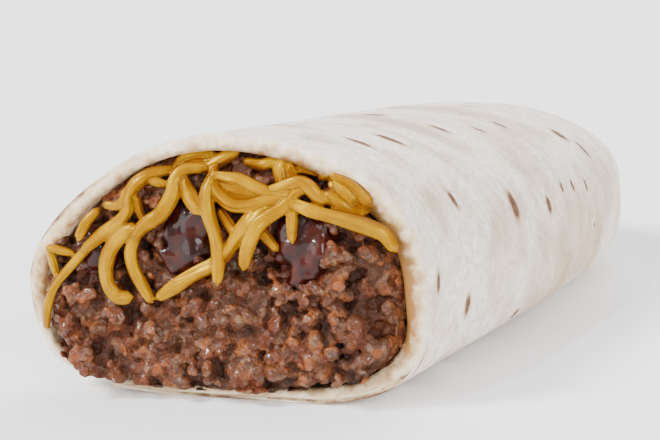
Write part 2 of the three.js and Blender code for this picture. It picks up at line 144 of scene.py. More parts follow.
# Shreds on the front: width, lift, and the places, x and z, that each one runs through
SHREDS = [
    (2, 0.2, [
        (-11.1, 43.2), (-13.9, 42.6), (-16.4, 40.9), (-17.5, 38.8), (-17.4, 36.2), (-18.9, 34),
        (-22, 31.5), (-25, 28.7),
    ]),
    (1.5, 0.3, [
        (-18.9, 34), (-22, 31.5), (-25, 28.7), (-28.2, 25.1), (-30.7, 21.5), (-32, 18), (-32.9, 13.2),
    ]),
    (2.3, 0.5, [
        (-15.8, 32.9), (-18.5, 31.2), (-20.4, 28.3), (-21.1, 24.8), (-20.4, 21.8), (-18.8, 20),
        (-16.7, 20),
    ]),
    (2.3, 0.7, [
        (-5.4, 43.9), (-8.3, 43.5), (-9.6, 41.6), (-9.6, 39.2), (-11.3, 35.7), (-14, 33.5),
        (-15.4, 31.6),
    ]),
    (2, 0.3, [(-15.6, 31.5), (-16.5, 28.7), (-15.8, 25.4), (-14.2, 22.4), (-12.8, 19.7)]),
    (2.1, 1.1, [(-2.8, 43.2), (-3.3, 39.9), (-2.5, 36.4), (-1.4, 33), (-0.8, 29.2), (-0.2, 23.9)]),
    (2.2, 0.4, [
        (-11.1, 20.3), (-7.9, 22.8), (-4.6, 25.1), (-1.6, 26.8), (0.7, 29.2), (2.7, 32.2), (4.6, 35),
        (6.2, 37.2), (8.7, 38.7), (11.3, 39.6),
    ]),
    (2.3, 0.5, [
        (4, 26.8), (4.6, 29.6), (5.6, 32.6), (6.9, 35), (8.9, 36.7), (10.8, 38.1), (11.8, 40.1),
        (13.7, 41.3),
    ]),
    (1.9, 0.1, [(6, 34), (7.7, 31.8), (9.1, 30.1)]),
    (1.9, 0, [(11.2, 38.6), (11.9, 35.9), (12.5, 32)]),
    (2.2, 0.4, [
        (11.6, 38.4), (15.2, 37.2), (18.6, 36.5), (22.1, 35.7), (25.2, 34.6), (27.7, 33.3), (29.3, 30.9),
    ]),
    (2.4, 0.9, [(7.4, 40.2), (10.1, 41), (12.4, 42), (14.4, 41.4), (15.9, 39.9), (17.5, 39.1)]),
    (1.9, 1.1, [(-3, 43.7), (-2.9, 41.5), (-1.1, 39.3), (1.5, 37.7), (4.3, 37.7), (7, 38.5), (9.9, 39.1)]),
    (1.8, 0.9, [(-3, 42.7), (-0.3, 42.5), (2.3, 42.2), (5.2, 40.8), (7.9, 39.9), (10.7, 40.2)]),
    (2.4, -0.2, [(-1.6, 40.9), (1.4, 40.2), (5, 39.4), (8, 38.8)]),
    (2.2, -0.3, [(-0.3, 39.2), (2.6, 38.6), (5.9, 39.3)]),
    (2.1, 0.2, [(-9.8, 44), (-7.1, 43.9), (-4.9, 44.1), (-2.7, 45.2), (0.1, 46.9)]),
    (2, 0.1, [(-10.8, 43.2), (-9.3, 45.2), (-7, 46.2), (-4.4, 46.4)]),
    (1.8, 0.1, [(1.8, 45), (4.7, 44.5), (6.9, 45.5), (8.5, 46.7)]),
    (2.2, 0.3, [(8.6, 46.7), (8, 44.3), (8.5, 42.4), (9.5, 41)]),
    (1.9, 0.1, [(9.1, 45.7), (10.3, 43.5), (11.3, 41.9)]),
    (1.9, -0.4, [(10.3, 43.5), (12.2, 44.1), (14.5, 43.4)]),
    (2.2, 0.3, [(15.6, 42.7), (16.7, 44), (18.8, 43.9)]),
    (2.7, 0.8, [(17.5, 43.2), (20, 41.8), (22.2, 40.3), (24.3, 38.6)]),
    (2.2, 0.6, [(17.5, 40.1), (19.1, 38.8), (21.2, 37.4), (23.7, 37)]),
    (2, 0.2, [(24, 38.8), (23.4, 36.8)]),
    (3, 0.1, [(17.8, 42.1), (19.6, 40.3), (21.6, 38.7)]),
    (2, 0.1, [(-26.2, 30.7), (-25.3, 33.4), (-23.9, 35.4)]),
    (1.7, 0.2, [(-22.3, 36.6), (-19.9, 36.5), (-18.5, 37.7), (-18.2, 39.4)]),
    (1.5, -0.2, [(-16.3, 38.2), (-15.8, 36), (-14.9, 34.1)]),
    (1.6, 0, [(-33.1, 28.1), (-30.6, 27.6), (-28.4, 27.1)]),
    (1.5, 0, [(-32.9, 27.6), (-32, 24.9), (-31, 22.3)]),
    (2.4, 0, [(-8.2, 41.7), (-6.9, 39.1), (-4.4, 36.5)]),
    (2, 0, [(-1.2, 36.3), (0.5, 34.1), (2.4, 32)]),
    (1.6, 0.1, [(-14.3, 41.2), (-11.4, 40.8)]),
]
SHRED_SEED = 8
SHRED_DEPTH = 0.88
# The plane that the shreds lie in, in front of the open end, and how much it leans back at the top
SHRED_FORWARD = 2.6
SHRED_TOP_BACK = 4.8
# How far a shred may leave its plane, forwards and backwards, to lie on the beef
SHRED_FORWARD_MOST = 0.9
SHRED_BACK_MOST = 1.3
# Above this height the shreds hang free in their plane
FREE_HEIGHT = 43
SHRED_VOXEL = 0.22
STRAND_STEP = 0.6
# Each shred's ridges start this far along from the last one's, so that no two look the same
STRAND_APART = 40
ROD_SIDES = 20
# The power that makes a rod's section round, 2, or square, many
ROD_SQUARE = 3.4
# A rod's ends are narrower over a few steps, and its caps stand out by a share of its width
ROD_END_WIDTH = 0.7
ROD_END_STEPS = 6
ROD_CAP = 0.4
# Unevenness of a rod: height, length in steps over a turn, and how many times its random phase
ROD_WAVES = [(0.06, 5, 1), (0.04, 2.3, 2)]
ROD_TWIST = 0.5
# Ridges left by the grater: how far apart, how long and how high at most
RIDGE_APART = 0.8
RIDGE_LENGTH = 9
RIDGE_HEIGHT = 0.16

# Pools of sauce on the front: middle x and z, half width, half height, thickness
POOLS = [
    (-7, 31, 6, 8.4, 2),
    (12.8, 30.2, 5.6, 8, 2),
    (-24.8, 27, 3.8, 4.6, 1.2),
]

# The camera, fitted to the photograph's outline
CAMERA_PLACE = (131.09, -284.31, 86.37)
CAMERA_AZIMUTH = 27.95
CAMERA_ELEVATION = 11.92
CAMERA_LENS = 75.35
CAMERA_SENSOR = 36
CAMERA_NEAR_M = 0.01


def linear(hex_colour):
    """Linear colour and alpha of an sRGB hex colour."""
    channels = [int(hex_colour[place:place + 2], 16) / 255 for place in (1, 3, 5)]
    return (*(c / 12.92 if c <= 0.04045 else ((c + 0.055) / 1.055) ** 2.4 for c in channels), 1)


def rgba(colour):
    """A colour property with full opacity, for a node."""
    return (*colour, 1)


def add_node(tree, kind, inputs=None, **settings):
    """Adds a node with its settings; an input gets a value, or is linked to a socket or a node."""
    made = tree.nodes.new(kind)
    for name, value in settings.items():
        setattr(made, name, value)
    for key, value in (inputs or {}).items():
        if isinstance(value, bpy.types.Node):
            value = next(output for output in value.outputs if output.enabled)
        if isinstance(value, bpy.types.NodeSocket):
            tree.links.new(value, made.inputs[key])
        else:
            made.inputs[key].default_value = value
    return made


def smoothstep(value, low, high):
    """0 up to a low value, 1 from a high one, and a soft rise between them."""
    share = np.clip((value - low) / (high - low), 0, 1)
    return share * share * (3 - 2 * share)


def mix(first, second, share):
    return first + (second - first) * share


def angle_from(degrees, middle):
    """Degrees from a middle angle, from -180 to 180."""
    return (degrees - middle + 540) % 360 - 180


def bell(away, spread):
    """1 in the middle, falling off softly to both sides."""
    return np.exp(-((away / spread) ** 2))


def section_reach(station, across, up):
    """How far a unit section of the roll reaches in a direction, from its roundness there."""
    top_left = mix(ROUND_TOP_LEFT, ROUND_TOP_FAR, smoothstep(station, 0, 0.6))
    top = mix(top_left, ROUND_TOP_RIGHT, 0.5 + 0.5 * across)
    power = np.where(up >= 0, top, ROUND_BOTTOM)
    return (np.abs(across) ** power + np.abs(up) ** power) ** (-1 / power)


def form_points(station, turn):
    """Points of the roll's smooth outer form, for stations from 0 to 1 and angles in radians."""
    station, turn = np.broadcast_arrays(np.asarray(station, float), np.asarray(turn, float))
    across = np.cos(turn)
    up = np.sin(turn)
    reach = section_reach(station, across, up)
    closing = np.clip((station - END_ROUND_START) / (1 - END_ROUND_START), 0, 1)
    narrow = (1 - closing ** END_ROUND_WIDTH) ** (1 / END_ROUND_WIDTH)
    flatten = (1 - closing ** END_ROUND_HEIGHT) ** (1 / END_ROUND_HEIGHT)
    left = mix(OPEN_LEFT, FAR_LEFT, station)
    right = mix(OPEN_RIGHT, FAR_RIGHT, smoothstep(station, 0, 0.5))
    height = mix(OPEN_HEIGHT, FAR_HEIGHT, station)
    belly = BELLY_HEIGHT * height
    middle = END_MIDDLE * height
    x = np.where(across > 0, right, left) * across * reach * narrow
    z = belly + np.where(up >= 0, height - belly, belly) * up * reach
    y = MIDDLE_Y - ROLL_LENGTH / 2 + ROLL_LENGTH * station + CUT_SLANT * x * (1 - station) ** 2
    return np.stack([
        MIDDLE_X + x + END_DRIFT * station ** 2,
        y,
        middle + (z - middle) * flatten - SETTLE,
    ], axis=-1)


def form_normals(station, turn):
    """Outward directions of the form, from its slopes along the roll and round it."""
    step = 0.001
    near = np.minimum(station, 1 - 1.5 * step)
    along = form_points(near + step, turn) - form_points(near - step, turn)
    around = form_points(near, turn + step) - form_points(near, turn - step)
    normal = np.cross(along, around)
    return normal / np.linalg.norm(normal, axis=-1, keepdims=True)


def inset_points(station, turn, depth):
    """Points at a depth under the form."""
    return form_points(station, turn) - form_normals(station, turn) * np.asarray(depth)[..., None]


def closing_stations(count):
    """Stations over the rounding of the far end, closer together where it closes."""
    power = (END_ROUND_WIDTH + END_ROUND_HEIGHT) / 2
    turns = np.linspace(0, math.pi / 2, count)[1:-1]
    return mix(END_ROUND_START, 1, np.sin(turns) ** (2 / power))


def rim_y(x):
    """Y of the slanting plane of the open end."""
    return MIDDLE_Y - ROLL_LENGTH / 2 + CUT_SLANT * (x - MIDDLE_X)


def lip_swell(turn):
    """How much thicker than the wall the rolled lip is, which is most at the right."""
    swell = LIP_SWELL * (0.4 + 0.6 * np.maximum(0, np.sin(turn)))
    for angle, spread, thickness in LIP_FOLDS:
        swell = swell + thickness * bell(angle_from(np.degrees(turn), angle), spread)
    return swell


def wall_thickness(station, turn):
    """Thickness of the tortilla, with its lip and the layers of its far end."""
    lip = 1 - smoothstep(station * ROLL_LENGTH, 0, LIP_DEPTH)
    layers = mix(1, END_LAYERS, smoothstep(station, *END_LAYERS_BETWEEN))
    return WALL * layers + lip_swell(turn) * lip


def face_back(x, z):
    """How far the filling's front lies behind the plane of the open end."""
    top_fullness = 1 - TOP_LEFT_FULLER * smoothstep(-x, 4, 14)
    top = FACE_TOP_BACK * top_fullness * smoothstep(z, *LEAN_HEIGHTS)
    left_fullness = 1 - LEFT_TOP_FULLER * smoothstep(z, 30, 38)
    left = FACE_LEFT_BACK * left_fullness * smoothstep(-x, 20, 33) * smoothstep(z, 16, 26)
    return FACE_BACK + top + left


def face_share(x, z, inset):
    """Where a point of the front lies between the middle of the filling, 0, and its edge, 1."""
    belly = BELLY_HEIGHT * OPEN_HEIGHT
    half_height = np.where(z + SETTLE > belly, OPEN_HEIGHT - belly, belly) - inset
    half_width = np.where(x > MIDDLE_X, OPEN_RIGHT, OPEN_LEFT) - inset
    across = (x - MIDDLE_X) / half_width
    up = (z + SETTLE - belly) / half_height
    size = np.hypot(across, up)
    some_size = np.maximum(size, TINY)
    return size / section_reach(0, across / some_size, up / some_size)


def face_bulge(x, z):
    """The filling's lower front swells out past the lip, away from its edge."""
    share = face_share(x, z, WALL + FILLING_GAP)
    return FACE_BULGE * smoothstep(1 - share, 0.02, 0.3) * (1 - smoothstep(z, 10, 32))


def noise_at(points, size, seed=0):
    """Soft noise from -1 to 1 at points in millimetres, with bumps of a size in millimetres."""
    shift = Vector((seed * 17.3, seed * 5.1, seed * 9.7))
    return np.array([noise.noise(Vector(point) / size + shift) for point in points])


def mesh_object(name, points_mm, faces, material):
    """A smooth-shaded mesh object at the origin, from points in millimetres."""
    mesh = bpy.data.meshes.new(name)
    mesh.from_pydata((np.asarray(points_mm) * MM).tolist(), [], faces)
    mesh.polygons.foreach_set("use_smooth", [True] * len(mesh.polygons))
    mesh.materials.append(material)
    made = bpy.data.objects.new(name, mesh)
    bpy.context.scene.collection.objects.link(made)
    return made


def ring_faces(rings, columns, start):
    """Faces of a closed surface from a first pole over rings of points to a last pole."""
    first = start
    last = start + 1 + rings * columns
    faces = []
    for column in range(columns):
        after = (column + 1) % columns
        faces.append((first, start + 1 + after, start + 1 + column))
        for ring in range(rings - 1):
            near = start + 1 + ring * columns
            far = near + columns
            faces.append((near + column, near + after, far + after, far + column))
        near = start + 1 + (rings - 1) * columns
        faces.append((last, near + column, near + after))
    return faces


def evaluated_mesh(source, name):
    """A plain mesh of an object with its modifiers applied; the object itself is removed."""
    graph = bpy.context.evaluated_depsgraph_get()
    mesh = bpy.data.meshes.new_from_object(source.evaluated_get(graph), depsgraph=graph)
    mesh.name = name
    old = source.data
    bpy.data.objects.remove(source)
    if old.users == 0:
        bpy.data.meshes.remove(old)
    return mesh


def read_values(items, field, size=1, kind=float):
    """Array of one field of each item in a mesh, with a row for each item that has several numbers."""
    values = np.empty(len(items) * size, kind)
    items.foreach_get(field, values)
    return values if size == 1 else values.reshape(-1, size)


def mesh_points(mesh):
    return read_values(mesh.vertices, "co", 3) / MM


def mesh_normals(mesh):
    return read_values(mesh.vertex_normals, "vector", 3)


def add_attribute(mesh, name, values):
    """Store a number or a place for each point of a mesh."""
    values = np.asarray(values, np.float32)
    kind, field = ("FLOAT_VECTOR", "vector") if values.ndim == 2 else ("FLOAT", "value")
    attribute = mesh.attributes.new(name, kind, "POINT")
    attribute.data.foreach_set(field, values.ravel())


def fused(source, name, voxel):
    """A mesh of an object's parts grown into one skin, with faces of about the given size."""
    remesh = source.modifiers.new("Fuse", "REMESH")
    remesh.mode = "VOXEL"
    remesh.voxel_size = voxel * MM
    return evaluated_mesh(source, name)


def finish_piece(piece, node):
    """Says which body a piece rides on, which node it replaces."""
    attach(piece, "root")
    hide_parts(node)


# Materials


def new_material(name):
    """An empty material, with its node tree."""
    material = bpy.data.materials.new(name)
    material.use_nodes = True
    tree = material.node_tree
    tree.nodes.clear()
    return material, tree


def lay_colours(tree, colour, layers):
    """Lays colours over a first one, each where its pattern goes from low to high; also the last share."""
    for pattern, low, high, most, over in layers:
        share = add_node(tree, "ShaderNodeMapRange", {
            "Value": pattern, "From Min": low, "From Max": high, "To Min": 0, "To Max": most,
        })
        colour = add_node(tree, "ShaderNodeMix", {
            0: share, UNDER: colour, OVER: rgba(over),
        }, data_type="RGBA")
    return colour, share


def millimetres(tree):
    """Place on the object in millimetres."""
    metres = add_node(tree, "ShaderNodeTexCoord").outputs["Object"]
    return add_node(tree, "ShaderNodeVectorMath", {
        0: metres, 1: (1000, 1000, 1000),
    }, operation="MULTIPLY")


def flour_tortilla_material(colours):
    """Flour tortilla, pressed and griddled: a matt pale bread with faint streaks and toasted spots."""
    material, tree = new_material("Griddled flour tortilla")
    roll = add_node(tree, "ShaderNodeUVMap", uv_map="roll")
    # The place in millimetres round the roll and along it
    place = add_node(tree, "ShaderNodeVectorMath", {
        0: roll, 1: (MAP_UNIT, MAP_UNIT, 0),
    }, operation="MULTIPLY")
    # Streaks run round the roll: about 5 mm long and 1.5 mm apart
    streak_place = add_node(tree, "ShaderNodeVectorMath", {
        0: place, 1: (1 / 5, 1 / 1.5, 0),
    }, operation="MULTIPLY")
    streaks = add_node(tree, "ShaderNodeTexNoise", {
        "Vector": streak_place, "Scale": 1, "Detail": 5, "Roughness": 0.65,
    })
    # Blotches are about 11 mm wide, and flecks of flour 1.3 mm
    solid_place = millimetres(tree)
    blotch_place = add_node(tree, "ShaderNodeVectorMath", {
        0: solid_place, 1: (1 / 11, 1 / 8, 1 / 11),
    }, operation="MULTIPLY")
    blotches = add_node(tree, "ShaderNodeTexNoise", {"Vector": blotch_place, "Scale": 1, "Detail": 4})
    flour = add_node(tree, "ShaderNodeTexNoise", {
        "Vector": solid_place, "Scale": 1 / 1.3, "Detail": 4, "Roughness": 0.7,
    })
    # Round the far end the streaks would run in rings, so they fade out there
    y_mm = add_node(tree, "ShaderNodeSeparateXYZ", {0: solid_place}).outputs["Y"]
    streak_most = add_node(tree, "ShaderNodeMapRange", {
        "Value": y_mm, "From Min": 58, "From Max": 84, "To Min": 0.4, "To Max": 0.05,
    })
    baked, _ = lay_colours(tree, rgba(colours.bread), (
        (streaks, 0.45, 0.7, streak_most, colours.bread_shade),
        (flour, 0.44, 0.66, 0.6, colours.bread_shade),
        (blotches, 0.47, 0.72, 0.6, colours.tan),
    ))
    # Each spot is an oval with a ragged edge, and a tan ring fades out round it
    spot = add_node(tree, "ShaderNodeUVMap", uv_map="spot")
    spot_size = add_node(tree, "ShaderNodeUVMap", uv_map="spot_size")
    tone = add_node(tree, "ShaderNodeAttribute", attribute_name="spot_tone").outputs["Fac"]
    spot_place = add_node(tree, "ShaderNodeVectorMath", {
        0: spot, 1: (MAP_UNIT, MAP_UNIT, 0),
    }, operation="MULTIPLY")
    ragged = add_node(tree, "ShaderNodeTexNoise", {"Vector": place, "Scale": 1 / 0.9, "Detail": 3})
    wobble = add_node(tree, "ShaderNodeVectorMath", {
        0: ragged.outputs["Color"], 1: (0.5, 0.5, 0.5),
    }, operation="SUBTRACT")
    wobble_mm = add_node(tree, "ShaderNodeVectorMath", {0: wobble, 1: (1.8, 0.7, 0)}, operation="MULTIPLY")
    wobbled = add_node(tree, "ShaderNodeVectorMath", {0: spot_place, 1: wobble_mm}, operation="ADD")
    unit_place = add_node(tree, "ShaderNodeVectorMath", {0: wobbled, 1: spot_size}, operation="DIVIDE")
    away = add_node(tree, "ShaderNodeVectorMath", {0: unit_place}, operation="LENGTH")
    halo = add_node(tree, "ShaderNodeMapRange", {
        "Value": away, "From Min": 2.5, "From Max": 0.9, "To Min": 0, "To Max": 0.85,
    }, interpolation_type="SMOOTHSTEP")
    halo_share = add_node(tree, "ShaderNodeMath", {0: halo, 1: tone}, operation="MULTIPLY")
    core = add_node(tree, "ShaderNodeMapRange", {
        "Value": away, "From Min": 1.5, "From Max": 0.8, "To Min": 0, "To Max": 1.15,
    }, interpolation_type="SMOOTHSTEP")
    dark_tone = add_node(tree, "ShaderNodeMapRange", {
        "Value": tone, "From Min": 0.55, "From Max": 0.9, "To Min": 0, "To Max": 1,
    })
    core_tone = add_node(tree, "ShaderNodeMath", {0: core, 1: dark_tone}, operation="MULTIPLY")
    uneven = add_node(tree, "ShaderNodeMapRange", {
        "Value": flour, "From Min": 0.35, "From Max": 0.6, "To Min": 1, "To Max": 0.75,
    })
    core_share = add_node(tree, "ShaderNodeMath", {0: core_tone, 1: uneven}, operation="MULTIPLY")
    spotted = baked
    for share, over in ((halo_share, colours.tan), (core_share, colours.toast)):
        spotted = add_node(tree, "ShaderNodeMix", {
            0: share, UNDER: spotted, OVER: rgba(over),
        }, data_type="RGBA")
    # Oil from the filling soaks into the bread with a ragged edge
    oil = add_node(tree, "ShaderNodeAttribute", attribute_name="oil").outputs["Fac"]
    soaking = add_node(tree, "ShaderNodeTexNoise", {"Vector": solid_place, "Scale": 1 / 2.2, "Detail": 3})
    oil_wobble = add_node(tree, "ShaderNodeMapRange", {
        "Value": soaking, "From Min": 0.3, "From Max": 0.7, "To Min": -0.35, "To Max": 0.35,
    })
    oil_ragged = add_node(tree, "ShaderNodeMath", {0: oil, 1: oil_wobble}, operation="ADD")
    soaked, oil_share = lay_colours(tree, spotted, (
        (oil_ragged, 0.2, 0.85, 0.95, colours.cream),
        (oil_ragged, 0.7, 1.4, 1, colours.oil),
    ))
    dull = add_node(tree, "ShaderNodeMapRange", {
        "Value": oil_share, "From Min": 0, "From Max": 1, "To Min": 0.7, "To Max": 0.4,
    })
    relief = add_node(tree, "ShaderNodeMath", {0: streaks, 1: flour}, operation="ADD")
    bump = add_node(tree, "ShaderNodeBump", {"Strength": 0.5, "Distance": 0.0003, "Height": relief})
    shader = add_node(tree, "ShaderNodeBsdfPrincipled", {
        "Base Color": soaked,
        "Roughness": dull,
        "IOR": 1.42,
        "Specular IOR Level": 0.35,
        "Subsurface Weight": 0.2,
        "Subsurface Radius": (1, 0.75, 0.5),
        "Subsurface Scale": 0.0012,
        "Normal": bump,
    })
    add_node(tree, "ShaderNodeOutputMaterial", {0: shader})
    return material


def ground_beef_material(colours):
    """Fried ground beef, wet with its own fat: brown crumbs with small sharp glints."""
    material, tree = new_material("Fried ground beef")
    place = millimetres(tree)
    # Lumps are about 5 mm wide, crumbs and nodules 1.7 mm, bits of fat 1.1 mm and grains 0.7 mm
    lumps = add_node(tree, "ShaderNodeTexNoise", {
        "Vector": place, "Scale": 1 / 5, "Detail": 3, "Roughness": 0.65,
    })
    crumbs = add_node(tree, "ShaderNodeTexNoise", {
        "Vector": place, "Scale": 1 / 1.7, "Detail": 5, "Roughness": 0.7,
    })
    grain = add_node(tree, "ShaderNodeTexVoronoi", {"Vector": place, "Scale": 1 / 0.7})
    nodules = add_node(tree, "ShaderNodeTexVoronoi", {"Vector": place, "Scale": 1 / 1.7})
    nodule_tone = add_node(tree, "ShaderNodeSeparateColor", {0: nodules.outputs["Color"]}).outputs["Red"]
    bits = add_node(tree, "ShaderNodeTexVoronoi", {"Vector": place, "Scale": 1 / 1.1})
    bit_tone = add_node(tree, "ShaderNodeSeparateColor", {0: bits.outputs["Color"]}).outputs["Green"]
    hollow_shade = add_node(tree, "ShaderNodeAttribute", attribute_name="hollow_shade").outputs["Fac"]
    wet = add_node(tree, "ShaderNodeAttribute", attribute_name="wet").outputs["Fac"]
    # The last layer paints shade where the crumbs' bump is low
    fried, _ = lay_colours(tree, rgba(colours.beef_grey), (
        (lumps, 0.4, 0.62, 1, colours.beef_red),
        (nodule_tone, 0.6, 1, 0.9, colours.beef_light),
        (bit_tone, 0.82, 0.97, 0.5, colours.beef_fat),
        (crumbs, 0.47, 0.3, 0.8, colours.beef_shade),
    ))
    # Painted shade: the hollows between the clumps are darkened towards the shade colour
    shaded = add_node(tree, "ShaderNodeMix", {
        0: hollow_shade, UNDER: fried, OVER: rgba(colours.beef_shade),
    }, data_type="RGBA")
    soak = add_node(tree, "ShaderNodeMath", {0: wet, 1: crumbs}, operation="MULTIPLY")
    soaked, soak_share = lay_colours(tree, shaded, ((soak, 0.15, 0.5, 0.9, colours.sauce_red),))
    gloss = add_node(tree, "ShaderNodeMapRange", {
        "Value": lumps, "From Min": 0.35, "From Max": 0.65, "To Min": 0.36, "To Max": 0.55,
    })
    wet_gloss = add_node(tree, "ShaderNodeMix", {"Factor": soak_share, "A": gloss, "B": 0.18})
    # The clear fat lies in small patches, about 1 mm wide, but not in the hollows
    fat = add_node(tree, "ShaderNodeTexNoise", {"Vector": place, "Scale": 1 / 1.2, "Detail": 2})
    fat_share = add_node(tree, "ShaderNodeMapRange", {
        "Value": fat, "From Min": 0.48, "From Max": 0.6, "To Min": 0.05, "To Max": 0.7,
    })
    coat = add_node(tree, "ShaderNodeMath", {0: fat_share, 1: hollow_shade}, operation="SUBTRACT", use_clamp=True)
    fine = add_node(tree, "ShaderNodeBump", {
        "Strength": 0.9, "Distance": 0.0003, "Height": grain.outputs["Distance"],
    })
    bump = add_node(tree, "ShaderNodeBump", {
        "Strength": 0.9, "Distance": 0.0006, "Height": crumbs, "Normal": fine,
    })
    shader = add_node(tree, "ShaderNodeBsdfPrincipled", {
        "Base Color": soaked,
        "Roughness": wet_gloss,
        "IOR": 1.42,
        "Specular IOR Level": 0.28,
        "Subsurface Weight": 0.06,
        "Subsurface Radius": (1, 0.45, 0.3),
        "Subsurface Scale": 0.0006,
        "Coat Weight": coat,
        "Coat Roughness": 0.1,
        "Normal": bump,
    })
    add_node(tree, "ShaderNodeOutputMaterial", {0: shader})
    return material


def cheddar_material(colours):
    """Half-melted cheddar: a smooth, slightly clear yellow with an oily shine."""
    material, tree = new_material("Melted cheddar")
    place = millimetres(tree)
    # The cheese is thicker and thinner over 5 mm, and its milky fat lies in patches of 3.2 mm
    depth = add_node(tree, "ShaderNodeTexNoise", {"Vector": place, "Scale": 1 / 5, "Detail": 2})
    milk = add_node(tree, "ShaderNodeTexNoise", {
        "Vector": place, "Scale": 1 / 3.2, "Detail": 3, "Distortion": 0.6,
    })
    # Fine ridges run along each shred, over the coarse ones of its mesh
    strand = add_node(tree, "ShaderNodeAttribute", attribute_name="strand").outputs["Vector"]
    drawn = add_node(tree, "ShaderNodeVectorMath", {
        0: strand, 1: (1 / RIDGE_APART, 1 / RIDGE_APART, 1 / RIDGE_LENGTH),
    }, operation="MULTIPLY")
    ridges = add_node(tree, "ShaderNodeTexNoise", {"Vector": drawn, "Scale": 1, "Detail": 2})
    milky, _ = lay_colours(tree, rgba(colours.cheddar_deep), (
        (depth, 0.35, 0.65, 1, colours.cheddar),
        (milk, 0.5, 0.72, 0.3, colours.cheddar_pale),
    ))
    # Painted shade: the creases between the shreds and the grooves of the fine ridges are painted a dark
    # amber
    crease_shade = add_node(tree, "ShaderNodeAttribute", attribute_name="crease_shade").outputs["Fac"]
    groove_shade = add_node(tree, "ShaderNodeMapRange", {
        "Value": ridges, "From Min": 0.5, "From Max": 0.32, "To Min": 0, "To Max": 0.45,
    })
    crease_shade_share = add_node(tree, "ShaderNodeMath", {0: crease_shade, 1: groove_shade}, operation="MAXIMUM")
    colour = add_node(tree, "ShaderNodeMix", {
        0: crease_shade_share, UNDER: milky, OVER: rgba(colours.cheddar_crease_shade),
    }, data_type="RGBA")
    bump = add_node(tree, "ShaderNodeBump", {"Strength": 0.8, "Distance": 0.0007, "Height": ridges})
    shader = add_node(tree, "ShaderNodeBsdfPrincipled", {
        "Base Color": colour,
        "Roughness": 0.2,
        "IOR": 1.42,
        "Specular IOR Level": 0.75,
        "Specular Tint": (1, 0.75, 0, 1),
        "Coat Weight": 0.07,
        "Coat Roughness": 0.04,
        "Subsurface Weight": 0.2,
        "Subsurface Radius": (1, 0.5, 0.1),
        "Subsurface Scale": 0.0012,
        "Normal": bump,
    })
    add_node(tree, "ShaderNodeOutputMaterial", {0: shader})
    return material


def sauce_material(colours):
    """Red chilli sauce with fat in it: a dark wet film that mirrors the light."""
    material, tree = new_material("Red chilli sauce")
    # The sauce is thicker and thinner over about 3 mm
    cloud = add_node(tree, "ShaderNodeTexNoise", {"Vector": millimetres(tree), "Scale": 1 / 3, "Detail": 3})
    colour, _ = lay_colours(tree, rgba(colours.sauce), ((cloud, 0.4, 0.62, 1, colours.sauce_red),))
    bump = add_node(tree, "ShaderNodeBump", {"Strength": 0.6, "Distance": 0.0009, "Height": cloud})
    shader = add_node(tree, "ShaderNodeBsdfPrincipled", {
        "Base Color": colour,
        "Roughness": 0.3,
        "IOR": 1.4,
        "Specular IOR Level": 0.15,
        "Subsurface Weight": 0.1,
        "Subsurface Radius": (1, 0.25, 0.15),
        "Subsurface Scale": 0.001,
        "Coat Weight": 0.4,
        "Coat Roughness": 0.06,
        "Normal": bump,
    })
    add_node(tree, "ShaderNodeOutputMaterial", {0: shader})
    return material


def studio_floor_material():
    """Painted studio board: an even matt white."""
    material, tree = new_material("Matt white studio board")
    shader = add_node(tree, "ShaderNodeBsdfPrincipled", {
        "Base Color": linear("#FAFAFA"), "Roughness": 0.75,
    })
    add_node(tree, "ShaderNodeOutputMaterial", {0: shader})
    return material


# The tortilla

FLARE = 1.9
FLARE_ANGLE = 178
FLARE_SPREAD = 32
FLARE_LENGTH = 32
SKIN_COLUMNS = 360
SKIN_STEP = 0.95
LIP_ROWS = 14
# Unevenness of the skin: height, how much each axis is drawn together, width and seed
SKIN_WAVES = [
    (0.3, (1, 0.45, 1), 13, 1),
    (0.12, (1, 2.2, 1), 9, 2),
    (0.05, (0.35, 2.4, 0.35), 3, 4),
]
# The skin lies this far under the form, so that its waves stay within the frame's size
SKIN_UNDER = 0.1
# How far the maps run on over the lip
LIP_LENGTH = 6
# How far the lip stands out, how much more it does where it is soft, and its waves
LIP_RISE = 1.3
SOFT_LIP_RISE = 0.9
LIP_WAVE = 0.45
LIP_BACK = 0.2
# Two layers of the lip part from each other at the underside
SPLIT_ANGLE = 276
SPLIT_SPREAD = 34
SPLIT_DEPTH = 0.9
SPLIT_ROW = 0.36 * LIP_ROWS
SPLIT_ROWS = 1.1
# The lip is oily at two places, most of all at the right
OIL_RIGHT_ANGLE = 20
OIL_RIGHT_SPREAD = 58
OIL_LEFT_ANGLE = 168
OIL_LEFT_SPREAD = 34
OIL_RIGHT_MORE = 0.25
# How far the oil runs back over the outside
OIL_OUTSIDE = 1.6


def tuck_relief(station, degrees):
    """How deep the folds of the tucked far end are."""
    tucked = smoothstep(station, *TUCKS_BETWEEN)
    relief = np.zeros(np.broadcast(station, degrees).shape)
    for angle, depth, spread in TUCKS:
        relief = relief + depth * bell(angle_from(degrees, angle), spread)
    return tucked * relief


def flap_relief(degrees):
    """How far the skin steps in beside the outer flap's edge."""
    beside = FLAP_ANGLE - degrees
    fading = np.clip(1 - beside / FLAP_FADE, 0, 1)
    return np.where(beside > 0, FLAP_STEP * fading ** 2, 0)


def lip_flare(along, degrees):
    """The lip opens outwards on the left."""
    beside = bell(degrees - FLARE_ANGLE, FLARE_SPREAD)
    return FLARE * beside * (1 - smoothstep(along, 0, FLARE_LENGTH))


def column_turns(station, degrees):
    """Angles in radians of the skin's columns, which follow the flap's edge as it winds round the roll."""
    near = np.maximum(0, np.cos(np.radians(degrees - FLAP_ANGLE)))
    return np.radians(degrees + FLAP_TWIST * station * near ** 2)


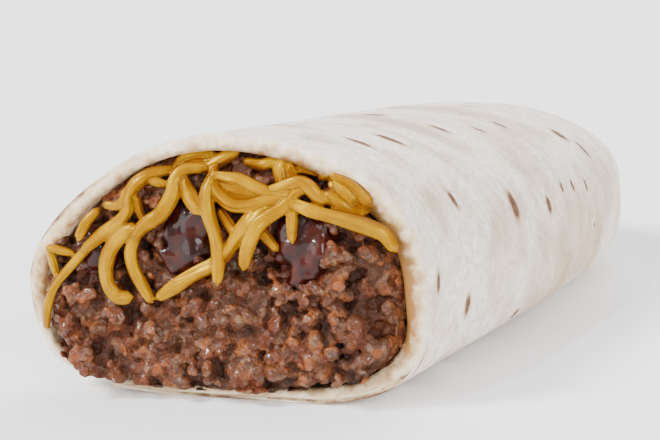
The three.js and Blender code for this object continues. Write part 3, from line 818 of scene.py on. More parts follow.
def all_spots(draws):
    """Toasted spots: distance along the roll, angle, length round the roll, width along it, and tone."""
    spots = [(*spot, 1) for spot in TOAST_SPOTS]
    spots += TAN_PATCHES
    for _ in range(HIDDEN_SPOTS):
        along = draws.uniform(*SPOT_PLACES)
        angle = draws.uniform(*HIDDEN_ANGLES)
        size = draws.choice(HIDDEN_SPOT_SIZES)
        length = size * draws.uniform(1.3, 3)
        width = size * draws.uniform(0.5, 0.8)
        spots.append((along, angle, length, width, draws.uniform(0.45, 1)))
    for _ in range(FAINT_SPOTS):
        along = draws.uniform(*SPOT_PLACES)
        angle = draws.uniform(*FAINT_ANGLES)
        length = draws.uniform(1.5, 5)
        width = draws.uniform(0.5, 1.4)
        spots.append((along, angle, length, width, draws.uniform(0.12, 0.4)))
    return np.array(spots)


def skin_corners(mesh, ring_along):
    """For the skin's corners: the ring and column of each, its face, and each face's first corner."""
    corners = read_values(mesh.loops, "vertex_index", kind=int)
    starts = read_values(mesh.polygons, "loop_start", kind=int)
    counts = read_values(mesh.polygons, "loop_total", kind=int)
    owner = np.repeat(np.arange(len(starts)), counts)
    ring = np.clip((corners - 1) // SKIN_COLUMNS, 0, len(ring_along) - 1)
    return ring, (corners - 1) % SKIN_COLUMNS, owner, starts


def add_spot_maps(mesh, ring_along, round_mm, ring_degrees):
    """Gives each corner its place from the strongest spot's middle, that spot's half size, and its tone."""
    ring, column, owner, starts = skin_corners(mesh, ring_along)
    along = ring_along[ring]
    degrees = ring_degrees[column]
    size = round_mm[ring]
    spots = all_spots(random.Random(SPOT_SEED))
    best = np.full(len(starts), -np.inf)
    chosen = np.zeros(len(starts), int)
    for place, (spot_along, angle, length, width, spot_tone) in enumerate(spots):
        aside = angle_from(degrees[starts], angle) * size[starts]
        away = np.hypot(aside / length, (along[starts] - spot_along) / width)
        presence = spot_tone * (SPOT_REACH - away)
        stronger = presence > best
        best[stronger] = presence[stronger]
        chosen[stronger] = place
    own = spots[chosen[owner]]
    aside = angle_from(degrees, own[:, 1]) * size
    ahead = along - own[:, 0] - SPOT_SLANT * aside
    place_map = mesh.uv_layers.new(name="spot")
    place_map.data.foreach_set("uv", np.stack([aside, ahead], axis=1).ravel() / MAP_UNIT)
    size_map = mesh.uv_layers.new(name="spot_size")
    size_map.data.foreach_set("uv", (own[:, 2:4] * SPOT_GROWTH).ravel() / 2)
    tone = mesh.attributes.new("spot_tone", "FLOAT", "CORNER")
    tone.data.foreach_set("value", own[:, 4].astype(np.float32))


def skin_relief(smooth, station, degrees):
    """How far the outer skin lies under the smooth form: flap, tucks, sags and fine streaks."""
    depth = flap_relief(degrees) + tuck_relief(station, degrees)
    flat = smooth.reshape(-1, 3)
    waves = sum(height * noise_at(flat * drawn, width, seed) for height, drawn, width, seed in SKIN_WAVES)
    return depth + waves.reshape(depth.shape) + SKIN_UNDER


def lip_points(outer, inner, degrees):
    """Rows of points over the lip, from the edge of the outer skin to the edge of the inner one."""
    forward = np.array([CUT_SLANT, -1, 0]) / math.hypot(CUT_SLANT, 1)
    middle = (outer + inner) / 2
    half = outer - middle
    full = bell(angle_from(degrees, SOFT_LIP_ANGLE), SOFT_LIP_SPREAD)
    rise = np.minimum(np.linalg.norm(half, axis=1), LIP_RISE + SOFT_LIP_RISE * full)
    wave = LIP_WAVE * noise_at(outer, 14, 6)
    under = bell(degrees - SPLIT_ANGLE, SPLIT_SPREAD)
    rows = []
    for row in range(1, LIP_ROWS):
        turn = math.pi * row / LIP_ROWS
        split = SPLIT_DEPTH * under * bell(row - SPLIT_ROW, SPLIT_ROWS)
        reach = math.sin(turn) * rise + wave * math.sin(turn) - split - LIP_BACK
        rows.append(middle + half * math.cos(turn) + forward * reach[:, None])
    return np.array(rows)


def oil_stain(along, inner_rings, degrees):
    """How much oil the skin has soaked up: a little outside the lip, most of it over the lip and inside."""
    right_rim = bell(angle_from(degrees, OIL_RIGHT_ANGLE), OIL_RIGHT_SPREAD)[None, :]
    left_rim = bell(angle_from(degrees, OIL_LEFT_ANGLE), OIL_LEFT_SPREAD)[None, :]
    outside = OIL_RIGHT_MORE * right_rim * bell(along, OIL_OUTSIDE)
    share = np.linspace(0, 1, LIP_ROWS + 1)[1:-1, None]
    soaked = mix(0.65, 1, np.maximum(right_rim, left_rim)) + OIL_RIGHT_MORE * right_rim
    over_lip = mix(0.25, 1.4, smoothstep(share, 0, 0.85)) * soaked
    inside = np.ones((inner_rings, SKIN_COLUMNS)) * mix(0.8, 1, right_rim)
    return np.concatenate([[0], outside[::-1].ravel(), over_lip.ravel(), inside.ravel(), [0]])


def make_tortilla(material):
    """The skin of the roll: outside, lip and inside, closed in one piece."""
    degrees = np.arange(SKIN_COLUMNS) * 360 / SKIN_COLUMNS
    lip_station = WALL / 2 / ROLL_LENGTH
    straight_rings = round(ROLL_LENGTH * END_ROUND_START / SKIN_STEP)
    stations = np.concatenate([
        np.linspace(lip_station, END_ROUND_START, straight_rings),
        closing_stations(95),
    ])
    inner_stations = np.concatenate([
        np.linspace(lip_station, 0.08, 14),
        np.linspace(0.12, END_ROUND_START, 8),
        closing_stations(14),
    ])

    outer_turn = column_turns(stations[:, None], degrees[None, :])
    smooth = form_points(stations[:, None], outer_turn)
    normals = form_normals(stations[:, None], outer_turn)
    along = np.broadcast_to(stations[:, None] * ROLL_LENGTH, smooth.shape[:2])
    depth = skin_relief(smooth, stations[:, None], degrees[None, :])
    depth = depth - lip_flare(along, degrees[None, :])
    outer = smooth - normals * depth[..., None]
    outer[..., 2] = np.maximum(0, outer[..., 2])

    inner_turn = column_turns(inner_stations[:, None], degrees[None, :])
    thickness = wall_thickness(inner_stations[:, None], inner_turn)
    inner = inset_points(inner_stations[:, None], inner_turn, thickness)

    rings = np.concatenate([outer[::-1], lip_points(outer[0], inner[0], degrees), inner])
    first = form_points(1.0, 0.0) - (0, TUCK_DIMPLE, 0)
    last = form_points(1.0, 0.0) - (0, WALL * END_LAYERS, 0)
    points = np.concatenate([[first], rings.reshape(-1, 3), [last]])
    piece = mesh_object("tortilla_skin", points, ring_faces(len(rings), SKIN_COLUMNS, 0), material)
    add_attribute(piece.data, "oil", oil_stain(along, len(inner_stations), degrees))

    # The maps start at the flap's edge, and run on over the lip into the roll
    steps = np.linalg.norm(np.diff(smooth, axis=1, append=smooth[:, :1]), axis=2)
    around = np.cumsum(steps, axis=1)
    seam = round(FLAP_ANGLE * SKIN_COLUMNS / 360)
    around = (around - around[:, seam:seam + 1]) % around[:, -1:]
    ring_along = np.concatenate([
        along[::-1, 0],
        -np.linspace(0, LIP_LENGTH, LIP_ROWS + 1)[1:-1],
        -LIP_LENGTH - inner_stations * ROLL_LENGTH,
    ])
    rings_within = LIP_ROWS - 1 + len(inner_stations)
    ring_round = np.concatenate([around[::-1], np.repeat(around[:1], rings_within, axis=0)])
    add_roll_map(piece.data, ring_along, ring_round)
    add_spot_maps(piece.data, ring_along, ring_round.max(axis=1) / 360, degrees)
    return piece


def add_roll_map(mesh, ring_along, ring_round):
    """Lays the skin out flat: how far round the roll and how far along it each corner is."""
    ring, column, owner, starts = skin_corners(mesh, ring_along)
    u = ring_round[ring, column]
    v = ring_along[ring]
    highest = np.zeros(len(starts))
    np.maximum.at(highest, owner, u)
    whole = ring_round.max(axis=1)[ring]
    u = np.where(highest[owner] - u > whole / 2, u + whole, u)
    layer = mesh.uv_layers.new(name="roll")
    layer.data.foreach_set("uv", np.stack([u, v], axis=1).ravel() / MAP_UNIT)


# The beef

HEAP_COLUMNS = 96
BODY_COLUMNS = 48
# How deep the core is, and how much narrower at its back
HEAP_BACK = 8
HEAP_BACK_INSET = 1.2
# The core lies this far behind the front that its clumps make
CORE_BEHIND = 1.2
# How far the coarse body reaches into the heap from behind
BODY_OVERLAP = 3
HEAP_VOXEL = 0.36
# The fine skin of the heap is kept this far behind its front
HEAP_DEPTH = 6.5
# How far the front's edge comes forward, except at the top and the right, and is set back at the right
EDGE_FORWARD = 1.3
RIGHT_BACK = 2.2
# How far the heap may stand out past the open end, in the middle and at the left
FRONT_ROOM = 6
FRONT_ROOM_LEFT = 1
# At the top the beef stays this far behind the plane of the shreds
BEHIND_SHREDS = 0.9
# Where the heap hangs out over the lip at the bottom, it keeps this far in from the tortilla's outside
OVERHANG = 2.7
OVERHANG_LEFT = 2.2
# At the left that reaches this much higher
LEFT_RAISED = 6
# Points are pressed together over this last share of the way to the wall
PRESS_ROOM = 0.08
FACE_LUMPS = 2.2
# Grains raised on the clumps: height and width, and the level that they rise from; then a finer roughness
BEEF_GRAINS = [(0.4, 1.7), (0.25, 1)]
GRAIN_LEVEL = 0.45
ROUGH_HEIGHT = 0.25
ROUGH_WIDTH = 0.8
SMALL_CLUMPS = {"Clump Spacing": 2, "Clump Radius": 1.3, "Lowest": -0.7, "Highest": 0.5}
SMALL_CLUMP_GRAINS = 7
SMALL_CLUMP_SEED = 2
CLUMP_LOWEST = -0.8
CLUMP_HIGHEST = 1.5
CLUMP_GRAINS = 34
CLUMP_SEED = 5
WAY_SEEDS = (21, 22)
SIZE_SEED = 23
# Each grain is squashed or drawn out along each axis, and turned at random
SQUASH = (0.7, 1.35)
SQUASH_SEED = 24
WHOLE_TURN = 6.283
TURN_SEED = 25


def face_points(shares, edge, forward):
    """Rings of points on the filling's front, from its edge, share 1, to its middle, share 0."""
    middle_z = BELLY_HEIGHT * OPEN_HEIGHT
    rings = []
    for share in shares:
        x = mix(MIDDLE_X, edge[:, 0], share)
        z = mix(middle_z, edge[:, 2], share)
        out_to_edge = EDGE_FORWARD * smoothstep(share, 0.7, 0.95) * (1 - smoothstep(z, 30, 44))
        out_to_edge = out_to_edge * (1 - smoothstep(x, 5, 25) * smoothstep(z, 8, 16))
        y = rim_y(x) + face_back(x, z) - face_bulge(x, z) - out_to_edge - forward
        lumps = FACE_LUMPS * noise_at(np.stack([x, y, z], axis=1), 7, 12) * (1 - smoothstep(z, 28, 38))
        rings.append(np.stack([x, y + lumps, z], axis=1))
    return rings


def filling_edge(columns, inset):
    """Ring of points where the filling's front meets the tortilla."""
    turn = np.arange(columns) * 2 * math.pi / columns
    near = inset_points(0.0, turn, np.full(columns, inset))
    station = face_back(near[:, 0], near[:, 2]) / ROLL_LENGTH
    return turn, station, inset_points(station, turn, np.full(columns, inset))


def heap_core(material):
    """The closed core that the clumps are set on, with its front marked for them."""
    turn, station, edge = filling_edge(HEAP_COLUMNS, WALL + LIP_SWELL * 0.6 + FILLING_GAP)
    edge = keep_inside(edge)
    back_inset = np.full(HEAP_COLUMNS, WALL + HEAP_BACK_INSET)
    back = inset_points(station + HEAP_BACK / ROLL_LENGTH, turn, back_inset)
    front = face_points(np.linspace(1, 0.04, 24), edge, -CORE_BEHIND)
    rings = [back * 0.5 + back.mean(axis=0) * 0.5, back, *front]
    points = np.concatenate([[back.mean(axis=0)], *rings, [front[-1].mean(axis=0)]])
    core = mesh_object("beef_core", points, ring_faces(len(rings), HEAP_COLUMNS, 0), material)
    marked = core.data.attributes.new("front", "BOOLEAN", "FACE")
    first_front_point = 1 + 2 * HEAP_COLUMNS
    in_front = [min(face.vertices) >= first_front_point for face in core.data.polygons]
    marked.data.foreach_set("value", in_front)
    return core


def clumps_tree(material):
    """Geometry nodes that set clumps of small balls on a surface, as broken-up ground beef lies."""
    tree = bpy.data.node_groups.new("Ground beef clumps", "GeometryNodeTree")
    face = tree.interface
    face.new_socket(name="Geometry", in_out="OUTPUT", socket_type="NodeSocketGeometry")
    face.new_socket(name="Geometry", in_out="INPUT", socket_type="NodeSocketGeometry")
    for name in ("Clump Spacing", "Clump Radius", "Smallest Grain", "Largest Grain", "Lowest", "Highest"):
        face.new_socket(name=name, in_out="INPUT", socket_type="NodeSocketFloat")
    for name in ("Grains", "Seed"):
        face.new_socket(name=name, in_out="INPUT", socket_type="NodeSocketInt")
    given = add_node(tree, "NodeGroupInput").outputs
    front = add_node(tree, "GeometryNodeInputNamedAttribute", {"Name": "front"}, data_type="BOOLEAN")
    # The distance between clumps sets how many there are, so the density is only a high limit
    scatter = add_node(tree, "GeometryNodeDistributePointsOnFaces", {
        "Mesh": given["Geometry"],
        "Selection": front,
        "Distance Min": given["Clump Spacing"],
        "Density Max": 2e6,
        "Seed": given["Seed"],
    }, distribute_method="POISSON")
    rise = add_node(tree, "FunctionNodeRandomValue", {
        2: given["Lowest"], 3: given["Highest"], "Seed": given["Seed"],
    }, data_type="FLOAT")
    lift = add_node(tree, "ShaderNodeVectorMath", {
        0: scatter.outputs["Normal"], "Scale": rise,
    }, operation="SCALE")
    lifted = add_node(tree, "GeometryNodeSetPosition", {"Geometry": scatter, "Offset": lift})
    copies = add_node(tree, "GeometryNodeDuplicateElements", {
        "Geometry": lifted, "Amount": given["Grains"],
    }, domain="POINT")
    # The sum of two random ways brings the grains closer together in the middle of their clump
    count = add_node(tree, "GeometryNodeInputIndex")
    ways = [
        add_node(tree, "FunctionNodeRandomValue", {
            0: (-1, -1, -1), 1: (1, 1, 1), "ID": count, "Seed": seed,
        }, data_type="FLOAT_VECTOR")
        for seed in WAY_SEEDS
    ]
    way = add_node(tree, "ShaderNodeVectorMath", {0: ways[0], 1: ways[1]}, operation="ADD")
    reach = add_node(tree, "ShaderNodeMath", {0: given["Clump Radius"], 1: 0.6}, operation="MULTIPLY")
    aside = add_node(tree, "ShaderNodeVectorMath", {0: way, "Scale": reach}, operation="SCALE")
    spread = add_node(tree, "GeometryNodeSetPosition", {"Geometry": copies, "Offset": aside})
    ball = add_node(tree, "GeometryNodeMeshIcoSphere", {"Radius": 1, "Subdivisions": 2})
    size = add_node(tree, "FunctionNodeRandomValue", {
        2: given["Smallest Grain"], 3: given["Largest Grain"], "ID": count, "Seed": SIZE_SEED,
    }, data_type="FLOAT")
    squash, turn = [
        add_node(tree, "FunctionNodeRandomValue", {
            0: (least, least, least), 1: (most, most, most), "ID": count, "Seed": seed,
        }, data_type="FLOAT_VECTOR")
        for least, most, seed in ((*SQUASH, SQUASH_SEED), (0, WHOLE_TURN, TURN_SEED))
    ]
    scale = add_node(tree, "ShaderNodeVectorMath", {0: squash, "Scale": size}, operation="SCALE")
    placed = add_node(tree, "GeometryNodeInstanceOnPoints", {
        "Points": spread, "Instance": ball, "Rotation": turn, "Scale": scale,
    })
    whole = add_node(tree, "GeometryNodeJoinGeometry")
    tree.links.new(placed.outputs[0], whole.inputs[0])
    tree.links.new(given["Geometry"], whole.inputs[0])
    real = add_node(tree, "GeometryNodeRealizeInstances", {0: whole})
    finished = add_node(tree, "GeometryNodeSetMaterial", {"Geometry": real, "Material": material})
    add_node(tree, "NodeGroupOutput", {0: finished})
    return tree


def add_nodes_modifier(piece, tree, values):
    """Puts a node tree on an object, with its named inputs set."""
    modifier = piece.modifiers.new("Scatter", "NODES")
    modifier.node_group = tree
    for item in tree.interface.items_tree:
        if item.item_type == "SOCKET" and item.in_out == "INPUT" and item.name in values:
            modifier[item.identifier] = values[item.name]


def quad_faces(mesh):
    return read_values(mesh.polygons, "vertices", 4, int)


def filling_body(inset, start_behind):
    """Closed coarse body of the filling from behind its front to the far end."""
    turn, station, edge = filling_edge(BODY_COLUMNS, inset)
    front_station = station + start_behind / ROLL_LENGTH
    rings = []
    for value in (*closing_stations(12)[::-1], *np.linspace(END_ROUND_START, 0.16, 8)):
        at = np.full(BODY_COLUMNS, value)
        rings.append(inset_points(at, turn, wall_thickness(at, turn) + inset - WALL))
    front = inset_points(front_station, turn, np.full(BODY_COLUMNS, inset))
    rings.append(front)
    rings.append(front * 0.5 + front.mean(axis=0) * 0.5)
    first = form_points(1.0, 0.0) - (0, WALL * END_LAYERS + FILLING_GAP, 0)
    points = np.concatenate([[first], *rings, [front.mean(axis=0)]])
    return points, ring_faces(len(rings), BODY_COLUMNS, 0)


def keep_inside(points):
    """Pulls points that would poke through the tortilla back to its inner face."""
    x, y, z = points.T
    inside = smoothstep(y - rim_y(x), -1.2, 0.2)
    left = smoothstep(MIDDLE_X - x, 20, 30)
    low = 1 - smoothstep(z - LEFT_RAISED * left, 4, 10)
    middle_z = BELLY_HEIGHT * OPEN_HEIGHT - SETTLE
    wall = WALL + lip_swell(np.arctan2(z - middle_z, x - MIDDLE_X)) - 0.3
    overhang = mix(OVERHANG, OVERHANG_LEFT, left)
    inset = mix(mix(wall, overhang, low), wall - 0.6, inside)
    share = face_share(x, z, inset)
    pressed = 1 - PRESS_ROOM * np.exp(-np.maximum(share - 1 + PRESS_ROOM, 0) / PRESS_ROOM)
    pull = np.where(share > 1 - PRESS_ROOM, pressed / np.maximum(share, TINY), 1)
    x = MIDDLE_X + (x - MIDDLE_X) * pull
    z = middle_z + (z - middle_z) * pull
    return np.stack([x, y, z], axis=1)


def granules_at(points, size):
    """Rounded grains all over, from 0 between them to 1 on top, of a size in millimetres."""
    return np.array([1 - noise.voronoi(Vector(point) / size)[0][0] for point in points])


def sauce_share(x, z):
    """1 in the middle of a pool of sauce, 0.5 at its edge, and 0 well outside it."""
    ripple = noise_at(np.stack([x, np.zeros(len(x)), z], axis=1), 3, 9)
    best = np.zeros(len(x))
    for middle_x, middle_z, half_width, half_height, _ in POOLS:
        away = np.hypot((x - middle_x) / half_width, (z - middle_z) / half_height) + 0.3 * ripple
        best = np.maximum(best, 1 - smoothstep(away, 0.5, 1.5))
    return best


def grained(mesh):
    """Points of the fused clumps with fine grains raised on them, and none outside the tortilla."""
    points = mesh_points(mesh)
    grains = sum(height * (granules_at(points, width) - GRAIN_LEVEL) for height, width in BEEF_GRAINS)
    grains = grains + ROUGH_HEIGHT * noise_at(points, ROUGH_WIDTH, 5)
    return keep_inside(points + mesh_normals(mesh) * grains[:, None])


def held_back(points):
    """The beef's points, set back from the lip at the right and from the plane of the shreds."""
    x, y, z = points.T
    near_edge = smoothstep(face_share(x, z, WALL + SOFT_LIP), 0.8, 1)
    y = y + RIGHT_BACK * near_edge * smoothstep(x, 14, 26) * smoothstep(z, 6, 14)
    room = mix(FRONT_ROOM, FRONT_ROOM_LEFT, smoothstep(MIDDLE_X - x, 26, 33))
    behind_shreds = shred_plane(x, z) + BEHIND_SHREDS
    foremost = mix(rim_y(x) - room, behind_shreds, smoothstep(z, 29, 37))
    return np.stack([x, np.maximum(y, foremost), z], axis=1)


def painted_hollow_shade(points, heights):
    """How much painted shade each point of the beef gets, from 0 to 0.9, by how deep it lies between the
    clumps.
    """
    x, y, z = points.T
    level = blurred(blurred(heights, 3, True), 2, False)
    hollow_shade = 0.9 * smoothstep(y - grid_value(level, x, z), 0.8, 3.6)
    # The painted shade is lighter at the top and at the right, where more light falls in
    return hollow_shade * (1 - 0.9 * smoothstep(z, 34, 42)) * (1 - 0.7 * smoothstep(x, 22, 29))


def make_beef(material, sizes):
    """The heap at the front, with the coarse body behind it; also the heights of its front."""
    core = heap_core(material)
    tree = clumps_tree(material)
    grain_sizes = {"Smallest Grain": sizes.smallest_grain, "Largest Grain": sizes.largest_grain}
    add_nodes_modifier(core, tree, {
        **{name: value * MM for name, value in SMALL_CLUMPS.items()},
        **grain_sizes,
        "Grains": SMALL_CLUMP_GRAINS,
        "Seed": SMALL_CLUMP_SEED,
    })
    add_nodes_modifier(core, tree, {
        "Clump Spacing": sizes.clump_spacing,
        "Clump Radius": sizes.clump_radius,
        **grain_sizes,
        "Lowest": CLUMP_LOWEST * MM,
        "Highest": CLUMP_HIGHEST * MM,
        "Grains": CLUMP_GRAINS,
        "Seed": CLUMP_SEED,
    })
    mesh = fused(core, "beef_heap", HEAP_VOXEL)
    points = held_back(grained(mesh))
    faces = quad_faces(mesh)
    bpy.data.meshes.remove(mesh)
    # Only the front of the heap is kept, because the body behind it is coarse
    behind = points[:, 1] - rim_y(points[:, 0]) - face_back(points[:, 0], points[:, 2])
    faces = faces[behind[faces].min(axis=1) < HEAP_DEPTH]
    used, faces = np.unique(faces, return_inverse=True)
    points = points[used]
    heights = front_heights(points)
    hollow_shade = painted_hollow_shade(points, heights)
    wet = sauce_share(points[:, 0], points[:, 2])
    body = filling_body(WALL + FILLING_GAP, HEAP_BACK - BODY_OVERLAP)
    piece = combined("ground_beef_heap", [(points, faces.reshape(-1, 4).tolist()), body], material)
    body_size = len(body[0])
    # Painted shade: the hollows of the front are darkened, and the coarse body behind it is painted fully
    # shaded
    add_attribute(piece.data, "hollow_shade", np.concatenate([hollow_shade, np.ones(body_size)]))
    add_attribute(piece.data, "wet", np.concatenate([wet, np.zeros(body_size)]))
    return piece, heights


# What lies on the beef

# The grid of heights, over x and z as seen from in front
GRID_STEP = 0.5
GRID_LEFT = -37
GRID_LOW = 0
# How many places it has across and up
GRID_WIDE = 147
GRID_HIGH = 102

POOL_RINGS = 18
POOL_COLUMNS = 72
# A pool's mesh reaches past its edge, where it sinks into the beef
POOL_OVER = 1.15
# Ragged edges: share of the pool's size, width and seed
POOL_RAGGED = [(0.45, 3.5, 9), (0.2, 1.7, 3)]
# How far a pool's back lies in the beef, and how far its edge and its outermost rim sink in
POOL_BACK = 4.6
EDGE_SINK = 2.4
RIM_SINK = 1.5

# Layers of sauce and cheese under the top of the roll
LAYER_COLUMNS = 14
LAYER_RINGS = 16
LAYER_HALF_WIDTH = 34
# They start behind the front as it lies at this height, and end this far along the roll
LAYER_HEIGHT = 45
LAYER_END = 130
# How much painted crease shade the layer of cheese gets
LAYER_CREASE_SHADE = 0.6
SAUCE_LAYER = {"depth": 3.9, "thickness": 0.7, "left": -12, "right": 15, "behind": 2}
CHEESE_LAYER = {"depth": 0.3, "thickness": 2.9, "left": -14, "right": 17, "behind": 0.5}


def front_heights(points):
    """Y of the foremost points of the beef, for a grid of places seen from in front."""
    x, y, z = points.T
    column = np.clip(np.rint((x - GRID_LEFT) / GRID_STEP).astype(int), 0, GRID_WIDE - 1)
    row = np.clip(np.rint((z - GRID_LOW) / GRID_STEP).astype(int), 0, GRID_HIGH - 1)
    heights = np.full((GRID_HIGH, GRID_WIDE), np.inf)
    np.minimum.at(heights, (row, column), y)
    columns = GRID_LEFT + np.arange(GRID_WIDE) * GRID_STEP
    rows = GRID_LOW + np.arange(GRID_HIGH) * GRID_STEP
    across, up = np.meshgrid(columns, rows)
    plain = rim_y(across) + face_back(across, up)
    return np.where(np.isinf(heights), plain, heights)


def blurred(heights, reach, foremost):
    """Grid of heights, softened over a number of cells; foremost takes the nearest first."""
    size = 2 * reach + 1
    padded = np.pad(heights, reach, mode="edge")
    windows = np.lib.stride_tricks.sliding_window_view(padded, (size, size))
    return windows.min(axis=(2, 3)) if foremost else windows.mean(axis=(2, 3))


def grid_value(grid, x, z):
    """Values of a grid between its places."""
    column = np.clip((np.asarray(x) - GRID_LEFT) / GRID_STEP, 0, GRID_WIDE - 1.001)
    row = np.clip((np.asarray(z) - GRID_LOW) / GRID_STEP, 0, GRID_HIGH - 1.001)
    left = column.astype(int)
    low = row.astype(int)
    right_share = column - left
    high_share = row - low
    bottom = mix(grid[low, left], grid[low, left + 1], right_share)
    top = mix(grid[low + 1, left], grid[low + 1, left + 1], right_share)
    return mix(bottom, top, high_share)


def pool_mesh(pool, heights, thickness):
    """One pool of sauce: its top follows the softened beef, and its edge sinks into it."""
    middle_x, middle_z, half_width, half_height, depth = pool
    turn = np.arange(POOL_COLUMNS) * 2 * math.pi / POOL_COLUMNS
    level = blurred(blurred(blurred(heights, 1, True), 3, False), 2, False)
    front = []
    back = []
    for ring in range(POOL_RINGS, 0, -1):
        share = ring / POOL_RINGS
        x = middle_x + half_width * np.cos(turn) * share * POOL_OVER
        z = middle_z + half_height * np.sin(turn) * share * POOL_OVER
        y = grid_value(level, x, z)
        places = np.stack([x, np.zeros(POOL_COLUMNS), z], axis=1)
        away = POOL_OVER * share
        for most, width, seed in POOL_RAGGED:
            away = away + most * noise_at(places, width, seed)
        rise = depth * thickness * (1 - smoothstep(away, 0.2, 1))
        sink = EDGE_SINK * smoothstep(away, 0.65, 1.2) + RIM_SINK * smoothstep(share, 0.85, 1)
        front.append(np.stack([x, y - rise + sink, z], axis=1))
        back.append(np.stack([x, y + POOL_BACK - share, z], axis=1))
    both = [*back[::-1], *front]
    points = np.concatenate([[back[-1].mean(axis=0)], *both, [front[-1].mean(axis=0)]])
    return points, ring_faces(len(both), POOL_COLUMNS, 0)


def layer_mesh(depth, thickness, left, right, behind):
    """A thin layer under the top of the filling, which runs from behind the front to the far end."""
    x = np.linspace(left, right, LAYER_COLUMNS)
    turn = np.arccos(np.clip((x - MIDDLE_X) / LAYER_HALF_WIDTH, -0.95, 0.95))
    start = (face_back(x, np.full(LAYER_COLUMNS, LAYER_HEIGHT)) + behind) / ROLL_LENGTH
    rings = []
    for station in np.linspace(LAYER_END / ROLL_LENGTH, 0, LAYER_RINGS):
        at = np.maximum(station, start)
        under = WALL + LIP_SWELL * (at < 0.05) + depth
        high = inset_points(at, turn, under)
        low = inset_points(at, turn, under + thickness)
        rings.append(np.concatenate([high, low[::-1]]))
    points = np.concatenate([[rings[0].mean(axis=0)], *rings, [rings[-1].mean(axis=0)]])
    return points, ring_faces(len(rings), 2 * LAYER_COLUMNS, 0)


def combined(name, parts, material):
    """One object of several parts, each given by its points and its faces."""
    points = []
    faces = []
    for part_points, part_faces in parts:
        start = sum(len(part) for part in points)
        points.append(part_points)
        faces += [tuple(start + corner for corner in face) for face in part_faces]
    return mesh_object(name, np.concatenate(points), faces, material)


def make_sauce(material, heights, sizes):
    """The pools of sauce on the front, and the layer behind them."""
    parts = [pool_mesh(pool, heights, sizes.sauce_thickness / MM) for pool in POOLS]
    parts.append(layer_mesh(**SAUCE_LAYER))
    return combined("red_sauce_pools", parts, material)


def curve_through(places, step):
    """Evenly spaced points on a smooth curve through places."""
    places = np.array(places, float)
    before = 2 * places[0] - places[1]
    after = 2 * places[-1] - places[-2]
    knots = np.concatenate([[before], places, [after]])
    share = np.linspace(0, 1, 24, endpoint=False)[:, None]
    curve = []
    for a, b, c, d in zip(knots, knots[1:], knots[2:], knots[3:]):
        bend = 2 * a - 5 * b + 4 * c - d
        twist = 3 * (b - c) + d - a
        curve.append(b + 0.5 * share * (c - a + share * (bend + share * twist)))
    curve = np.concatenate([*curve, [places[-1]]])
    length = np.concatenate([[0], np.cumsum(np.linalg.norm(np.diff(curve, axis=0), axis=1))])
    even = np.linspace(0, length[-1], max(6, round(length[-1] / step)))
    return np.stack([np.interp(even, length, curve[:, axis]) for axis in (0, 1)], axis=1)


def shred_plane(x, z):
    """Y of the plane that the shreds lie in, which leans back towards the top."""
    return rim_y(x) + SHRED_TOP_BACK * smoothstep(z, *LEAN_HEIGHTS) - SHRED_FORWARD


def shred_path(places, width, lift, heights):
    """Middle line of a shred, lying on the beef."""
    x, z = curve_through(places, STRAND_STEP).T
    planned = shred_plane(x, z) - lift
    resting = grid_value(heights, x, z) - 0.4 * width - lift
    y = np.clip(resting, planned - SHRED_FORWARD_MOST, planned + SHRED_BACK_MOST)
    y = np.where(z > FREE_HEIGHT, planned, y)
    for _ in range(30):
        y[1:-1] = (y[:-2] + 2 * y[1:-1] + y[2:]) / 4
    return np.stack([x, y, z], axis=1)


def path_axes(path):
    """Directions along a path, across it as seen from in front, and out of that plane."""
    along = np.gradient(path, axis=0)
    along /= np.linalg.norm(along, axis=1, keepdims=True)
    across = np.stack([along[:, 2], np.zeros(len(path)), -along[:, 0]], axis=1)
    across /= np.maximum(np.linalg.norm(across, axis=1, keepdims=True), TINY)
    return along, across, np.cross(across, along)


def strand_places(points, paths):
    """Where each point lies in the shred nearest to it: across, out and along, in millimetres."""
    axes = [path_axes(path) for path in paths]
    middles = np.concatenate(paths)
    across = np.concatenate([each[1] for each in axes])
    out = np.concatenate([each[2] for each in axes])
    along = np.concatenate([
        STRAND_APART * number + STRAND_STEP * np.arange(len(path))
        for number, path in enumerate(paths)
    ])
    size = (middles ** 2).sum(axis=1)
    places = []
    # A few thousand points at a time, to keep the table of distances small
    for some in np.array_split(points, 12):
        nearest = np.argmin(size - 2 * some @ middles.T, axis=1)
        away = some - middles[nearest]
        aside = (away * across[nearest]).sum(axis=1)
        ahead = (away * out[nearest]).sum(axis=1)
        places.append(np.stack([aside, ahead, along[nearest]], axis=1))
    return np.concatenate(places)


def rod_mesh(path, width, depth, draws):
    """A closed rod along a path, a little uneven, with soft ends."""
    steps = len(path)
    along, across, out = path_axes(path)
    share = np.linspace(0, 1, steps)
    end = np.minimum(share, 1 - share)
    taper = mix(ROD_END_WIDTH, 1, np.clip(end * steps / ROD_END_STEPS, 0, 1) ** 0.7)
    phase = draws.uniform(0, 6)
    uneven = 1
    for height, length, times in ROD_WAVES:
        uneven = uneven + height * np.sin(share * steps / length + times * phase)
    size = taper * uneven
    turn = -np.arange(ROD_SIDES) * 2 * math.pi / ROD_SIDES
    # A cut shred is square with rounded corners, and it twists a little along its length
    corner = np.abs(np.cos(turn)) ** ROD_SQUARE + np.abs(np.sin(turn)) ** ROD_SQUARE
    squarish = corner ** (-1 / ROD_SQUARE)
    twist = ROD_TWIST * np.sin(share * steps * 0.1 + 3 * phase)[:, None]
    aside = squarish[None, :] * np.cos(turn[None, :] + twist) * (size * width / 2)[:, None]
    ahead = squarish[None, :] * np.sin(turn[None, :] + twist) * (size * depth / 2)[:, None]
    rings = path[:, None] + across[:, None] * aside[..., None] + out[:, None] * ahead[..., None]
    first = path[0] - along[0] * width * ROD_CAP
    last = path[-1] + along[-1] * width * ROD_CAP
    points = np.concatenate([[first], rings.reshape(-1, 3), [last]])
    return points, ring_faces(steps, ROD_SIDES, 0)


def face_list(mesh):
    return [tuple(polygon.vertices) for polygon in mesh.polygons]


